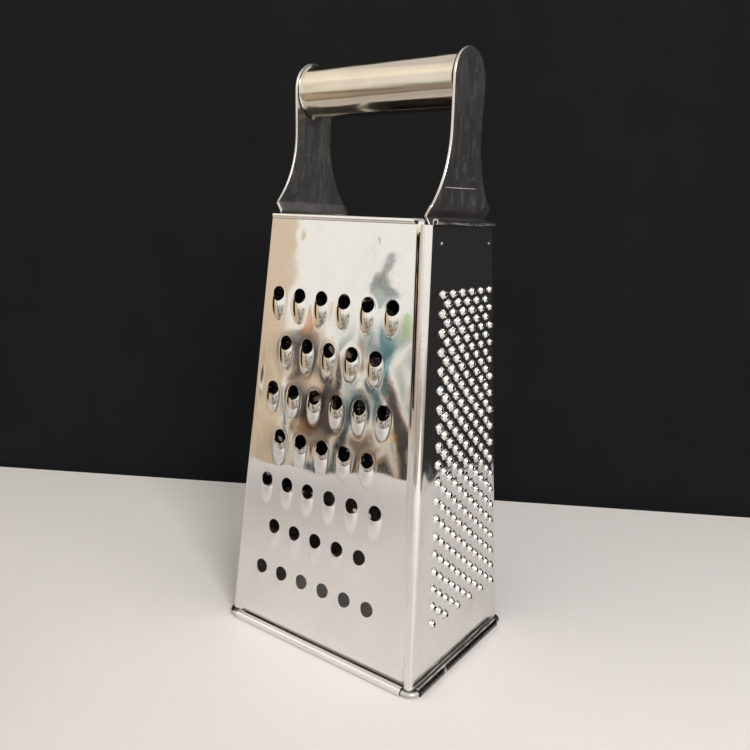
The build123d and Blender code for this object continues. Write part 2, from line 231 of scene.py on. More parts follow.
def panel(name, face, knots, segs, zlv, zsegs, ends, hem, curl, cells, features=None, cut=None, full=None, curl_dent=None):
    """knots: list of s at the four heights zlv; segs: columns between knots.
    ends: kind at the left and right. hem, curl: (from knot, to knot) ranges,
    the hem with an extra list of partly rolled ranges."""
    zrows = np.concatenate([
        np.linspace(zlv[i], zlv[i + 1], zsegs[i] + 1)[(0 if i == 0 else 1):] for i in range(3)
    ])
    base = np.array([[np.interp(z, zlv, k) for k in knots] for z in zrows])
    cols, at = [], [0]
    for i, n in enumerate(segs):
        for k in range(n):
            cols.append(base[:, i] + (base[:, i + 1] - base[:, i]) * k / n)
        at.append(at[-1] + n)
    cols.append(base[:, -1])
    S = np.stack(cols, axis=1)
    Z = np.repeat(zrows[:, None], S.shape[1], axis=1)
    left_w, right_w = S - S[:, :1], S[:, -1:] - S
    fade = smooth(left_w / 4) * smooth(right_w / 4) * smooth((Z - 4) / 8) * smooth((175.5 - Z) / 8)

    def relief(s, z, fadev):
        n = wave(face, s, z) * fadev
        if features is not None:
            n = n + features(s, z)
        return n

    def fade_at(s, z):
        lo = np.interp(z, zrows, S[:, 0])
        hi = np.interp(z, zrows, S[:, -1])
        return smooth((s - lo) / 4) * smooth((hi - s) / 4) * smooth((z - 4) / 8) * smooth((175.5 - z) / 8)

    Nn = relief(S, Z, fade)
    Q = fd(face, Z) + Nn
    P = np.stack([S, Q, Z], axis=-1)
    B = Builder()
    keep = np.ones((P.shape[0] - 1, P.shape[1] - 1), bool)
    if cells:
        keep[zsegs[0]:zsegs[0] + zsegs[1], at[cells["knot"]]:at[cells["knot"] + 1]] = False
    if cut is not None:
        sc = (S[:-1, :-1] + S[1:, 1:]) / 2
        zc = (Z[:-1, :-1] + Z[1:, 1:]) / 2
        keep &= ~cut(sc, zc)
    B.grid(P, keep)
    if cells:
        cells["make"](B, relief, fade_at)
    # folded ends
    for side, kind in ((-1, ends[0]), (1, ends[1])):
        rows = []
        for r, z in enumerate(zrows):
            a = half(face, z)
            pts = cover_end(z, a) if kind == "cover" else tucked_end(z, a)
            edge = P[r, 0] if side < 0 else P[r, -1]
            line = [tuple(edge)] + [(side * s, fd(face, z) + n, z) for s, n in pts]
            rows.append(line[::-1] if side < 0 else line)
        B.grid(np.array(rows))
    # hem: up, over and down outside
    q0, q1 = fd(face, HIGH), fd(face, HEM_TOP)
    for c0, c1, turn in hem:
        steps = 22 if turn > 200 else 11
        line = [(q0, HIGH), ((q0 + q1) / 2, (HIGH + HEM_TOP) / 2), (q1, HEM_TOP)]
        for k in range(1, steps + 1):
            b = math.radians(180 - turn * k / steps)
            line.append((q1 + HEM_R + HEM_R * math.cos(b), HEM_TOP + HEM_R * math.sin(b)))
        ss = S[-1, at[c0]:at[c1] + 1]
        B.grid(np.array([[(s, q, z) for s in ss] for q, z in line]))
    # curl: down, under the wire, outwards and up over it
    q0, q1 = fd(face, LOW), fd(face, CURL_Z)
    line = [(q0, LOW), ((q0 + q1) / 2, (LOW + CURL_Z) / 2), (q1, CURL_Z)]
    for k in range(1, 33):
        b = math.radians(180 + CURL_TURN * k / 32)
        line.append((q1 + CURL_R + CURL_R * math.cos(b), CURL_Z + CURL_R * math.sin(b)))
    ss = S[0, at[curl[0]]:at[curl[1]] + 1]
    G = np.array([[(s, q, z) for s in ss] for q, z in line[::-1]])
    if curl_dent is not None:
        # a knock in the outer side of the curl, at s
        du, dv = G[..., 1] - q1 - CURL_R, G[..., 2] - CURL_Z
        turn = np.arctan2(dv, du)
        push = 0.20 * np.exp(-(((G[..., 0] - curl_dent) / 0.9) ** 2)) * smooth((turn + 0.2) / 0.5) * smooth((2.2 - turn) / 0.6)
        G[..., 1] -= push * np.cos(turn)
        G[..., 2] -= push * np.sin(turn)
    B.grid(G)
    verts, faces = B.arrays()
    ob = make_object(name, to_world(face, verts), faces)
    thicken(ob, T, full=full)
    # the underside of the curl is pressed flat where the grater stands
    co = np.empty(len(ob.data.vertices) * 3)
    ob.data.vertices.foreach_get("co", co)
    co = co.reshape(-1, 3)
    co[:, 2] = np.maximum(co[:, 2], 0.0)
    ob.data.vertices.foreach_set("co", co.ravel())
    ob.data.update()
    return ob


def rect_ring(x0, x1, y0, y1, nx, ny):
    """Anticlockwise points on a rectangle's edge, nx and ny steps a side."""
    bottom = [(x0 + (x1 - x0) * i / nx, y0) for i in range(nx)]
    right = [(x1, y0 + (y1 - y0) * i / ny) for i in range(ny)]
    top = [(x1 + (x0 - x1) * i / nx, y1) for i in range(nx)]
    left = [(x0, y1 + (y0 - y1) * i / ny) for i in range(ny)]
    return np.array(bottom + right + top + left)


def hood(u, v, r, lip, halfw, tail):
    """Height of a pressed scoop over the face. u across, v up, both from the
    middle of the hole: a low oval bulge, nearly level across its middle and
    steep at its sides, whose upper end is cut away by the hole."""
    head = 0.5 * r
    mid, length = (head - tail) / 2, (head + tail) / 2
    t = np.clip((v - mid) / length, -1.6, 1.6)
    w = halfw * (1 + 0.12 * t)
    k2 = np.abs(u / w) ** 2.4 + np.where(t > 0, np.abs(t) ** 2.2, np.abs(t) ** 1.9)
    h = lip * (1 - np.minimum(k2, 3.0))
    e = 0.10 * lip
    bulge = 0.5 * (h + np.sqrt(h * h + e * e)) - 0.5 * (-2 * lip + np.sqrt(4 * lip * lip + e * e))
    k = np.sqrt(k2)
    pull = -0.012 * lip * np.exp(-(((k - 1.25) / 0.25) ** 2))
    return bulge + pull


def scoop_cells(rows, count, centre, pitch, zt, pz, up, nx, ny, rings, r, lip, halfw, tail, face, slant=(0.0, 0.0)):
    """Makes a staggered field of scoops: one polar patch round each hole, and
    plain half patches at the ends of the shorter rows. The punched field may
    lean a little in its panel."""
    def centre_of(sc, zc):
        return sc + slant[0] * (zc - (zt - rows * pz / 2)) / (rows * pz), zc + slant[1] * (sc - centre) / (count * pitch)

    def make(B, relief, fade_at):
        for row in range(rows):
            z1, z0 = zt - row * pz, zt - (row + 1) * pz
            full = row % 2 == 0
            n = count if full else count - 1
            lo = centre - n * pitch / 2
            for i in range(n):
                s0 = lo + i * pitch
                sc, zc = centre_of(s0 + pitch / 2, z1 - up)
                outer = rect_ring(s0, s0 + pitch, z0, z1, nx, ny)
                ang = np.arctan2(outer[:, 1] - zc, outer[:, 0] - sc)
                jit = 1 + 0.006 * np.sin(3 * ang + i + row)
                inner = np.stack([sc + r * jit * np.cos(ang), zc + r * jit * np.sin(ang)], axis=1)
                t = (np.arange(rings + 1) / rings) ** 1.45
                R = inner[None] + (outer - inner)[None] * t[::-1, None, None]
                s, z = R[..., 0], R[..., 1]
                vary = 1 + 0.05 * math.sin(2.3 * i + 1.7 * row)
                h = hood(s - sc, z - zc, r, lip * vary, halfw, tail)
                q = fd(face, z) + relief(s, z, fade_at(s, z)) + h
                B.polar(np.stack([s, q, z], axis=-1))
            if not full:
                for s0, s1 in ((lo - pitch / 2, lo), (lo + n * pitch, lo + n * pitch + pitch / 2)):
                    ss = np.linspace(s0, s1, nx // 2 + 1)
                    zz = np.linspace(z0, z1, ny + 1)
                    Sg, Zg = np.meshgrid(ss, zz)
                    q = fd(face, Zg) + relief(Sg, Zg, fade_at(Sg, Zg))
                    B.grid(np.stack([Sg, q, Zg], axis=-1))
    return make


# ---------------------------------------------------------------- front panel
wl, wt = hw(LOW), hw(HIGH)
dl, dt = hd(LOW), hd(HIGH)


def front_features(s, z):
    n = 0.0 * s
    # two small dents under the top edge
    n = n - 0.03 * np.exp(-(((s + 22) / 2.0) ** 2 + ((z - 170.5) / 1.7) ** 2))
    n = n - 0.05 * np.exp(-(((s - 17) / 1.9) ** 2 + ((z - 168.5) / 2.4) ** 2))
    # the sheet is set outwards in two bends just before it goes under the seam
    x1 = s - (hw(z) - seam(z))
    rise = 0.37 * np.clip(x1 + 2.15, 0, 0.9) + 0.28 * np.clip(x1 + 1.25, 0, 0.3) + 0.44 * np.clip(x1 + 0.95, 0, 1.05)
    rise = rise * (1 - smooth((x1 - 0.1) / 1.3))
    return n + rise * smooth((z - 3.5) / 6) * smooth((176.2 - z) / 3)


ZT, ZB = 152.8, 14.2
flat_cover = [hw(z) - (RC - LAYER) for z in (LOW, ZB, ZT, HIGH)]
flat_tuck = [hw(z) - WEB - T for z in (LOW, ZB, ZT, HIGH)]
front_knots = [
    [-x for x in flat_cover],
    [-(wl - 4.5), -43.2, -38.40, -(wt - 2.0)],
    [-38.5, -38.15, -38.15, -35.4],
    [30.6, 30.25, 30.25, 28.6],
    [41.0, 40.0, 33.2, wt - 6.8],
    [wl - 3.8, 44.25, 35.8, wt - 3.4],
    flat_tuck,
]
COARSE = dict(centre=-3.95, pitch=11.4, pz=19.8, up=6.3, r=3.0, slant=(0.55, -0.35))


def front_full(x, y, z):
    """The sheet is drawn thin at the rim of each coarse hole."""
    near = np.full(x.shape, 99.0)
    for row in range(7):
        n = 6 if row % 2 == 0 else 5
        zc = 152.8 - row * COARSE["pz"] - COARSE["up"]
        for i in range(n):
            sc = COARSE["centre"] + (i - (n - 1) / 2) * COARSE["pitch"]
            sx = sc + COARSE["slant"][0] * (zc - 83.5) / 138.6
            zx = zc + COARSE["slant"][1] * (sc - COARSE["centre"]) / 68.4
            near = np.minimum(near, np.hypot(x - sx, z - zx))
    return smooth((near - COARSE["r"]) / 0.9)


front = panel(
    "front_panel_sheet", "front", front_knots, [3, 4, 108, 6, 16, 3], [LOW, ZB, ZT, HIGH], [12, 210, 24],
    ("cover", "tucked"), [(1, 4, 250.0), (4, 5, 110.0)], (1, 5),
    {
        "knot": 2,
        "make": scoop_cells(
            7, 6, COARSE["centre"], COARSE["pitch"], ZT, COARSE["pz"], COARSE["up"], 18, 30, 26,
            COARSE["r"], 0.66, 3.2, 10.4, "front", COARSE["slant"],
        ),
    },
    features=front_features,
    full=front_full,
)

# ----------------------------------------------------------------- back panel
ZTb, ZBb = 152.4, 24.8
flat_cover_b = [hw(z) - (RC - LAYER) for z in (LOW, ZBb, ZTb, HIGH)]
flat_tuck_b = [hw(z) - WEB - T for z in (LOW, ZBb, ZTb, HIGH)]
back_knots = [
    [-x for x in flat_tuck_b],
    [-(wl - 3.8), -42.9, -36.2, -(wt - 3.4)],
    [-41.0, -39.0, -34.0, -(wt - 6.8)],
    [-32.5, -32.2, -32.2, -30.0],
    [37.2, 36.6, 36.6, 34.6],
    [wl - 4.5, 42.6, 37.7, wt - 2.0],
    flat_cover_b,
]
back = panel(
    "back_panel_sheet", "back", back_knots, [3, 4, 6, 96, 4, 3], [LOW, ZBb, ZTb, HIGH], [16, 176, 24],
    ("tucked", "cover"), [(2, 5, 250.0), (1, 2, 110.0)], (1, 5),
    {
        "knot": 3,
        "make": scoop_cells(11, 8, 2.2, 8.6, ZTb, 11.6, 4.4, 12, 16, 12, 1.6, 0.8, 2.3, 6.0, "back"),
    },
)

# ---------------------------------------------------------------- right panel
RT, RB = 152.1, 23.6
PITCH = (RT - RB) / 36


def rasp_edges(z):
    f = (RT - z) / (RT - RB)
    left, right = -15.2 + (-21.4 + 15.2) * f, 21.5 + (28.9 - 21.5) * f
    return left, (right - left) / 5


def fan(c, z):
    left, p = rasp_edges(z)
    return left + c * p


def bow(s, z):
    """The punching has left the narrow face slightly bowed outwards."""
    across = smooth((hd(z) - 2.5 - np.abs(s)) / 8)
    return 0.5 * across * np.sin(math.pi * np.clip((z - 14) / 148, 0, 1))


def right_features(s, z):
    n = bow(s, z)
    for y0 in (-17.0, 20.0):
        d2 = (s - y0) ** 2 + (z - 170.5) ** 2
        n = n - 0.60 * np.exp(-d2 / 0.75**2) + 0.04 * np.exp(-((np.sqrt(d2) - 1.7) ** 2) / 0.3)
    return n


def right_full(x, y, z):
    """The burst tips are drawn thin."""
    n = x - hw(z) - bow(y, z)
    inside = (z > 17) & (z < 158) & (np.abs(y) < hd(z) - 1.2)
    return np.where(inside, 1 - smooth((n - 0.35) / 0.55), 1.0)


def rasp_cells(B, relief, fade_at):
    nx, nh = 7, 6
    for half_col in range(11):
        c0, c1, cc = half_col / 2 - 0.25, half_col / 2 + 0.25, half_col / 2
        if half_col % 2 == 0:
            centres = [RT - 2 * PITCH * k for k in range(19)]
        else:
            centres = [RT - PITCH * (2 * k + 1) for k in range(18)]
            for z1 in (RT + PITCH, RB):
                z0 = z1 - PITCH
                cg, zg = np.meshgrid(np.linspace(c0, c1, nx + 1), np.linspace(z0, z1, nh + 1))
                sg = fan(cg, zg)
                B.grid(np.stack([sg, fd("right", zg) + relief(sg, zg, fade_at(sg, zg)), zg], axis=-1))
        for zc in centres:
            ring = rect_ring(c0, c1, zc - PITCH, zc + PITCH, nx, 2 * nh)
            outer = np.stack([fan(ring[:, 0], ring[:, 1]), ring[:, 1]], axis=1)
            sc = fan(cc, zc)
            f = (RT - zc) / (RT - RB)
            foot = 0.96 * min(0.25 * rasp_edges(zc)[1], 2.06)
            ang = np.arctan2(outer[:, 1] - zc, outer[:, 0] - sc)
            seed = rng.uniform(0, 6.28)
            petals = rng.integers(3, 6)
            rag = 0.6 * np.sin(petals * ang + seed) + 0.5 * np.sin((petals + 3) * ang - 1.7 * seed)
            # the points on the far side of the field are struck less deep
            size = rng.uniform(0.93, 1.03) * (1.04 - 0.20 * (cc / 5) * (1 - 0.75 * f))
            top = 1.22 * size * rng.uniform(0.90, 1.06)
            dx, dz = rng.uniform(-0.12, 0.12, 2)
            prof = [
                (1.0, 0.0), (0.955, 0.045), (0.885, 0.16), (0.81, 0.33), (0.735, 0.53), (0.665, 0.73), (0.60, 0.89),
                (0.545, 0.98),
            ]
            mid = np.stack([sc + foot * np.cos(ang), zc + foot * np.sin(ang)], axis=1)
            ringlist = [(outer, 0.0 * ang), (outer + (mid - outer) * 0.6, 0.0 * ang)]
            for k, hh in prof:
                rr = foot * (k if k > 0.99 else k * (0.3 * (1 - size) * (k - 0.545) / 0.455 + size))
                lift = hh * top * (1 + 0.08 * rag * (hh > 0.8))
                off = 1 - k
                pts = np.stack([sc + 2 * off * dx + rr * np.cos(ang), zc + 2 * off * dz + rr * np.sin(ang)], axis=1)
                ringlist.append((pts, lift))
            tip = foot * size * (0.475 + 0.075 * rag)
            pts = np.stack([sc + dx + tip * np.cos(ang), zc + dz + tip * np.sin(ang)], axis=1)
            ringlist.append((pts, top * (0.99 + 0.20 * rag)))
            R = np.array([p for p, _ in ringlist])
            H = np.array([h + 0.0 * ang for _, h in ringlist])
            s, z = R[..., 0], R[..., 1]
            q = fd("right", z) + relief(s, z, fade_at(s, z)) + H
            B.polar(np.stack([s, q, z], axis=-1))


ZTr, ZBr = RT + PITCH, RB - PITCH
flat_r = [hd(z) - (RC - LAYER) for z in (LOW, ZBr, ZTr, HIGH)]
right_knots = [
    [-x for x in flat_r],
    [-(dl - 1.8), -30.4, -21.6, -21.7],
    [-25.8, fan(-0.25, ZBr), fan(-0.25, ZTr), -16.6],
    [29.9, fan(5.25, ZBr), fan(5.25, ZTr), 21.2],
    [dl - 4.8, 32.2, 23.5, 21.8],
    flat_r,
]
right = panel(
    "right_panel_sheet", "right", right_knots, [3, 11, 72, 7, 5], [LOW, ZBr, ZTr, HIGH], [14, 190, 40],
    ("cover", "cover"), [(0, 5, 250.0)], (1, 4),
    {"knot": 2, "make": rasp_cells},
    features=right_features,
    full=right_full,
    curl_dent=-15.0,
)
# the rows of burst points run down a little towards the back edge
co = np.empty(len(right.data.vertices) * 3)
right.data.vertices.foreach_get("co", co)
co = co.reshape(-1, 3)
zz = co[:, 2] / MM
co[:, 2] -= 1.5 * MM * np.clip((RT - zz) / (RT - RB), 0, 1) * smooth((zz - 5) / 14) * (co[:, 1] / MM - 3.5) / 50
right.data.vertices.foreach_set("co", co.ravel())
right.data.update()

# ----------------------------------------------------------------- left panel
SLOTS = (134.0, 95.0, 56.0)


def slot_half(z):
    return 16.0 + (134.0 - z) * 5.0 / 78.0


def left_features(s, z):
    n = 0.0 * s
    for z0 in SLOTS:
        v = z - z0
        e = slot_half(z0)
        side = 1 - smooth((np.abs(s) - e) / 1.6)
        ramp = np.where((v <= 1e-4) & (v > -9.0), 2.2 * np.clip((v + 9.0) / 9.0, 0, 1) ** 1.2, 0.0)
        n = n + ramp * side
    for y0 in (-18.0, 18.0):
        d2 = (s - y0) ** 2 + (z - 170.5) ** 2
        n = n - 0.14 * np.exp(-d2 / 1.2**2)
    return n


def left_cut(s, z):
    gone = np.zeros(s.shape, bool)
    for z0 in SLOTS:
        gone |= (z > z0) & (z < z0 + 2.4) & (np.abs(s) < slot_half(z0) - 0.02)
    return gone


def left_z():
    marks = [14.2]
    for z0 in SLOTS[::-1]:
        marks += [z0 - 9.0, z0, z0 + 2.4]
    marks.append(150.0)
    return marks


def left_panel():
    marks = left_z()
    out = []
    for i in range(len(marks) - 1):
        n = max(2, int(round((marks[i + 1] - marks[i]) / 0.9)))
        out.append(np.linspace(marks[i], marks[i + 1], n + 1)[(0 if i == 0 else 1):])
    return np.concatenate(out)


LZ = left_panel()
lz = [LOW, 14.2, 150.0, HIGH]
flat_l = [hd(z) - WEB - T for z in lz]
slot_line = [slot_half(z) for z in lz]
left_knots = [
    [-x for x in flat_l],
    [-(dl - 3.8), -30.9, -22.0, -(dt - 3.4)],
    [-29.5, -28.9, -19.9, -(dt - 6.8)],
    [-(x + 1.6) for x in slot_line],
    [-x for x in slot_line],
    slot_line,
    [x + 1.6 for x in slot_line],
    [29.5, 28.9, 19.9, dt - 6.8],
    [dl - 3.8, 30.9, 22.0, dt - 3.4],
    flat_l,
]

_linspace = np.linspace


def panel_rows_left():
    return np.concatenate([_linspace(LOW, 14.2, 13), LZ[1:], _linspace(150.0, HIGH, 25)[1:]])


def panel_from_rows(name, face, knots, segs, zlv, zrows, ends, hem, curl, features, cut):
    """As panel(), with its own list of heights and no punched field."""
    base = np.array([[np.interp(z, zlv, k) for k in knots] for z in zrows])
    # the slot ends are straight up and down at each slot
    for r, z in enumerate(zrows):
        for z0 in SLOTS:
            if z0 - 9.01 <= z <= z0 + 2.41:
                e = slot_half(z0)
                base[r, 3], base[r, 4], base[r, 5], base[r, 6] = -(e + 1.6), -e, e, e + 1.6
    cols, at = [], [0]
    for i, n in enumerate(segs):
        for k in range(n):
            cols.append(base[:, i] + (base[:, i + 1] - base[:, i]) * k / n)
        at.append(at[-1] + n)
    cols.append(base[:, -1])
    S = np.stack(cols, axis=1)
    Z = np.repeat(zrows[:, None], S.shape[1], axis=1)
    fade = smooth((S - S[:, :1]) / 4) * smooth((S[:, -1:] - S) / 4) * smooth((Z - 4) / 8) * smooth((175.5 - Z) / 8)
    Q = fd(face, Z) + wave(face, S, Z) * fade + features(S, Z)
    P = np.stack([S, Q, Z], axis=-1)
    B = Builder()
    sc, zc = (S[:-1, :-1] + S[1:, 1:]) / 2, (Z[:-1, :-1] + Z[1:, 1:]) / 2
    B.grid(P, ~cut(sc, zc))
    for side, kind in ((-1, ends[0]), (1, ends[1])):
        rows = []
        for r, z in enumerate(zrows):
            pts = tucked_end(z, half(face, z))
            edge = P[r, 0] if side < 0 else P[r, -1]
            line = [tuple(edge)] + [(side * s, fd(face, z) + n, z) for s, n in pts]
            rows.append(line[::-1] if side < 0 else line)
        B.grid(np.array(rows))
    q0, q1 = fd(face, HIGH), fd(face, HEM_TOP)
    for c0, c1, turn in hem:
        steps = 22 if turn > 200 else 11
        line = [(q0, HIGH), ((q0 + q1) / 2, (HIGH + HEM_TOP) / 2), (q1, HEM_TOP)]
        for k in range(1, steps + 1):
            b = math.radians(180 - turn * k / steps)
            line.append((q1 + HEM_R + HEM_R * math.cos(b), HEM_TOP + HEM_R * math.sin(b)))
        ss = S[-1, at[c0]:at[c1] + 1]
        B.grid(np.array([[(s, q, z) for s in ss] for q, z in line]))
    q0, q1 = fd(face, LOW), fd(face, CURL_Z)
    line = [(q0, LOW), ((q0 + q1) / 2, (LOW + CURL_Z) / 2), (q1, CURL_Z)]
    for k in range(1, 33):
        b = math.radians(180 + CURL_TURN * k / 32)
        line.append((q1 + CURL_R + CURL_R * math.cos(b), CURL_Z + CURL_R * math.sin(b)))
    ss = S[0, at[curl[0]]:at[curl[1]] + 1]
    B.grid(np.array([[(s, q, z) for s in ss] for q, z in line[::-1]]))
    verts, faces = B.arrays()
    ob = make_object(name, to_world(face, verts), faces)
    thicken(ob, T)
    co = np.empty(len(ob.data.vertices) * 3)
    ob.data.vertices.foreach_get("co", co)
    co = co.reshape(-1, 3)
    co[:, 2] = np.maximum(co[:, 2], 0.0)
    ob.data.vertices.foreach_set("co", co.ravel())
    ob.data.update()
    return ob


left = panel_from_rows(
    "left_panel_sheet", "left", left_knots, [3, 3, 6, 2, 48, 2, 6, 3, 3], lz, panel_rows_left(),
    ("tucked", "tucked"), [(2, 7, 250.0), (1, 2, 110.0), (7, 8, 110.0)], (1, 8), left_features, left_cut,
)


# ------------------------------------------------------------------ wire ring
def tube_along(name, path, radius, sides=20, closed=True, wobble=0.0):
    """A round rod along a closed horizontal path, with normals worked out in
    the plane of the path."""
    n = len(path)
    P = np.array(path)
    tan = np.roll(P, -1, axis=0) - np.roll(P, 1, axis=0)
    tan /= np.linalg.norm(tan, axis=1)[:, None]
    side = np.stack([tan[:, 1], -tan[:, 0], 0 * tan[:, 0]], axis=1)
    up = np.array([0, 0, 1.0])
    verts, faces = [], []
    for i in range(n):
        for k in range(sides):
            b = 2 * math.pi * k / sides
            verts.append(P[i] + radius * (math.cos(b) * side[i] + math.sin(b) * up))
    for i in range(n):
        j = (i + 1) % n
        for k in range(sides):
            m = (k + 1) % sides
            faces.append((i * sides + k, j * sides + k, j * sides + m, i * sides + m))
    ob = make_object(name, np.array(verts) * MM, faces, weld=0)
    shade(ob, 60)
    return ob


def rounded_rect(x, y, r, step_straight=40, step_arc=14):
    pts = []
    corners = [(x - r, -y + r, -90), (x - r, y - r, 0), (-x + r, y - r, 90), (-x + r, -y + r, 180)]
    for k, (cx, cy, a0) in enumerate(corners):
        for i in range(step_arc + 1):
            b = math.radians(a0 + 90 * i / step_arc)
            pts.append((cx + r * math.cos(b), cy + r * math.sin(b)))
        nx = corners[(k + 1) % 4]
        b = math.radians(nx[2])
        end = (nx[0] + r * math.cos(b), nx[1] + r * math.sin(b))
        here = pts[-1]
        for i in range(1, step_straight):
            pts.append((here[0] + (end[0] - here[0]) * i / step_straight, here[1] + (end[1] - here[1]) * i / step_straight))
    return pts


wx, wy = hw(CURL_Z) + CURL_R, hd(CURL_Z) + CURL_R
wz = CURL_Z - CURL_R + WIRE_R + GAP
ring = tube_along("base_wire_ring_rod", [(x, y, wz) for x, y in rounded_rect(wx, wy, WIRE_BEND)], WIRE_R - 0.16)

# --------------------------------------------------------------------- straps
ST, SP, SJ = 1.0, 37.4, 2.3
HEAD_R, NECK, NECK_Z, FLARE_R, FLARE_Z, FOOT = 11.4, 10.9, 211.0, 40.0, 183.2, 22.0
TONGUE, TONGUE_LOW = 21.2, 161.0
HZ = TOTAL - HEAD_R


def strap_half(z):
    if z >= HZ:
        return math.sqrt(max(HEAD_R**2 - (z - HZ) ** 2, 0.0))
    if z >= NECK_Z:
        f = (HZ - z) / (HZ - NECK_Z)
        return HEAD_R + (NECK - HEAD_R) * f * f * (3 - 2 * f)
    if z >= FLARE_Z:
        return NECK + FLARE_R - math.sqrt(FLARE_R**2 - (NECK_Z - z) ** 2)
    w1 = NECK + FLARE_R - math.sqrt(FLARE_R**2 - (NECK_Z - FLARE_Z) ** 2)
    if z >= 179.6:
        return w1 + (FOOT - w1) * (FLARE_Z - z) / (FLARE_Z - 179.6)
    if z >= 176.0:
        return FOOT + (TONGUE - FOOT) * (179.6 - z) / 3.6
    if z >= TONGUE_LOW + 3:
        return TONGUE
    return TONGUE - (TONGUE_LOW + 3 - z)


def panel_inside(z):
    return hw(z) - T - GAP


def bent(points, radius, step=5):
    """A polyline in (x, z) with its inner corners rounded."""
    out = [np.array(points[0])]
    for i in range(1, len(points) - 1):
        a, b, c = (np.array(points[i + k], float) for k in (-1, 0, 1))
        u, w = (a - b) / np.linalg.norm(a - b), (c - b) / np.linalg.norm(c - b)
        half_angle = math.acos(np.clip(u @ w, -1, 1)) / 2
        d = min(radius / math.tan(half_angle), 0.45 * np.linalg.norm(a - b), 0.45 * np.linalg.norm(c - b))
        r = d * math.tan(half_angle)
        centre = b + (u + w) / np.linalg.norm(u + w) * (r / math.sin(half_angle))
        p0, p1 = b + u * d, b + w * d
        a0 = math.atan2(*(p0 - centre)[::-1])
        a1 = math.atan2(*(p1 - centre)[::-1])
        da = (a1 - a0 + math.pi) % (2 * math.pi) - math.pi
        for k in range(step + 1):
            t = a0 + da * k / step
            out.append(centre + r * np.array([math.cos(t), math.sin(t)]))
    out.append(np.array(points[-1]))
    return out


def strap(name, side):
    """A flat outline with rounded edges, laid on the strap's bent centre
    surface. The outline is drawn in (y, z), the thickness across."""
    zs = [TOTAL - HEAD_R * (1 - math.cos(math.radians(90 * k / 36))) for k in range(0, 37)]
    zs += list(np.linspace(HZ, NECK_Z, 14)[1:]) + list(np.linspace(NECK_Z, FLARE_Z, 26)[1:])
    zs += [182.0, 180.8, 179.6, 178.4, 177.2, 176.0, 172.0, 168.0, 164.0, 162.5, 161.3, TONGUE_LOW]
    outline = [(strap_half(z), z) for z in zs[1:]]
    loop = [(0.0, TOTAL)] + [(-w, z) for w, z in outline] + [(w, z) for w, z in reversed(outline)]
    P = np.array(loop)
    area = 0.5 * np.sum(P[:, 0] * np.roll(P[:, 1], -1) - np.roll(P[:, 0], -1) * P[:, 1])
    if area < 0:
        P = P[::-1]
    tan = np.roll(P, -1, axis=0) - np.roll(P, 1, axis=0)
    tan /= np.linalg.norm(tan, axis=1)[:, None]
    out = np.stack([tan[:, 1], -tan[:, 0]], axis=1)
    er = 0.22
    prof = [(-er * 1.0, ST / 2)] + [
        (-er + er * math.sin(math.radians(b)), ST / 2 - er + er * math.cos(math.radians(b))) for b in (22, 45, 67, 90)
    ]
    prof = prof + [(x, -y) for x, y in reversed(prof)]
    bm = bmesh.new()
    rings = []
    for dx, dn in prof:
        rings.append([bm.verts.new((p[0] + o[0] * dx, p[1] + o[1] * dx, dn)) for p, o in zip(P, out)])
    n = len(P)
    for a, b in zip(rings[:-1], rings[1:]):
        for i in range(n):
            j = (i + 1) % n
            bm.faces.new((a[i], b[i], b[j], a[j]))
    bm.faces.new(list(rings[0]))
    bm.faces.new(list(reversed(rings[-1])))
    for zc in np.concatenate([np.arange(161.6, 188.0, 0.4), np.arange(188, 240, 3.0)]):
        bmesh.ops.bisect_plane(bm, geom=bm.verts[:] + bm.edges[:] + bm.faces[:], plane_co=(0, zc, 0), plane_no=(0, 1, 0))
    for yc in np.arange(-20, 20.1, 2.0):
        bmesh.ops.bisect_plane(bm, geom=bm.verts[:] + bm.edges[:] + bm.faces[:], plane_co=(yc, 0, 0), plane_no=(1, 0, 0))
    # centre surface of the strap: vertical, set in at the foot, back out to the panel
    mid = [
        (SP - ST / 2, TOTAL + 2), (SP - ST / 2, 183.5), (SP - SJ - ST / 2 - 0.05, 179.55),
        (panel_inside(172.8) - ST / 2, 172.8), (panel_inside(TONGUE_LOW - 2) - ST / 2, TONGUE_LOW - 2),
    ]
    path = bent(mid, 1.5)
    zz = np.array([p[1] for p in path])[::-1]
    xx = np.array([p[0] for p in path])[::-1]
    for v in bm.verts:
        y, z, nrm = v.co
        x = float(np.interp(z, zz, xx))
        dx = float(np.interp(z + 0.15, zz, xx)) - float(np.interp(z - 0.15, zz, xx))
        t = Vector((dx, 0, 0.3)).normalized()
        nv = Vector((t.z, 0, -t.x))
        # shallow ring of the weld in the middle of the head
        d = math.hypot(y, z - HZ)
        dip = -0.05 * math.exp(-(((d - 2.2) / 0.5) ** 2)) if nrm > 0 else 0.0
        p = Vector((x, 0, z)) + nv * (nrm + dip)
        v.co = Vector((p.x, y, p.z))
    me = bpy.data.meshes.new(name)
    for v in bm.verts:
        v.co = Vector((v.co.x * side, v.co.y * side, v.co.z)) * MM
    bmesh.ops.recalc_face_normals(bm, faces=bm.faces)
    bm.to_mesh(me)
    bm.free()
    ob = bpy.data.objects.new(name, me)
    bpy.context.scene.collection.objects.link(ob)
    shade(ob, 35)
    return ob


right_strap = strap("right_strap_plate", 1)
left_strap = strap("left_strap_plate", -1)

# ---------------------------------------------------------------- handle tube
TUBE_R, TUBE_T, FLARE_L, FLARE_TR = 10.2, 0.5, 1.3, 10.85
TH = SP - ST - GAP - 0.35


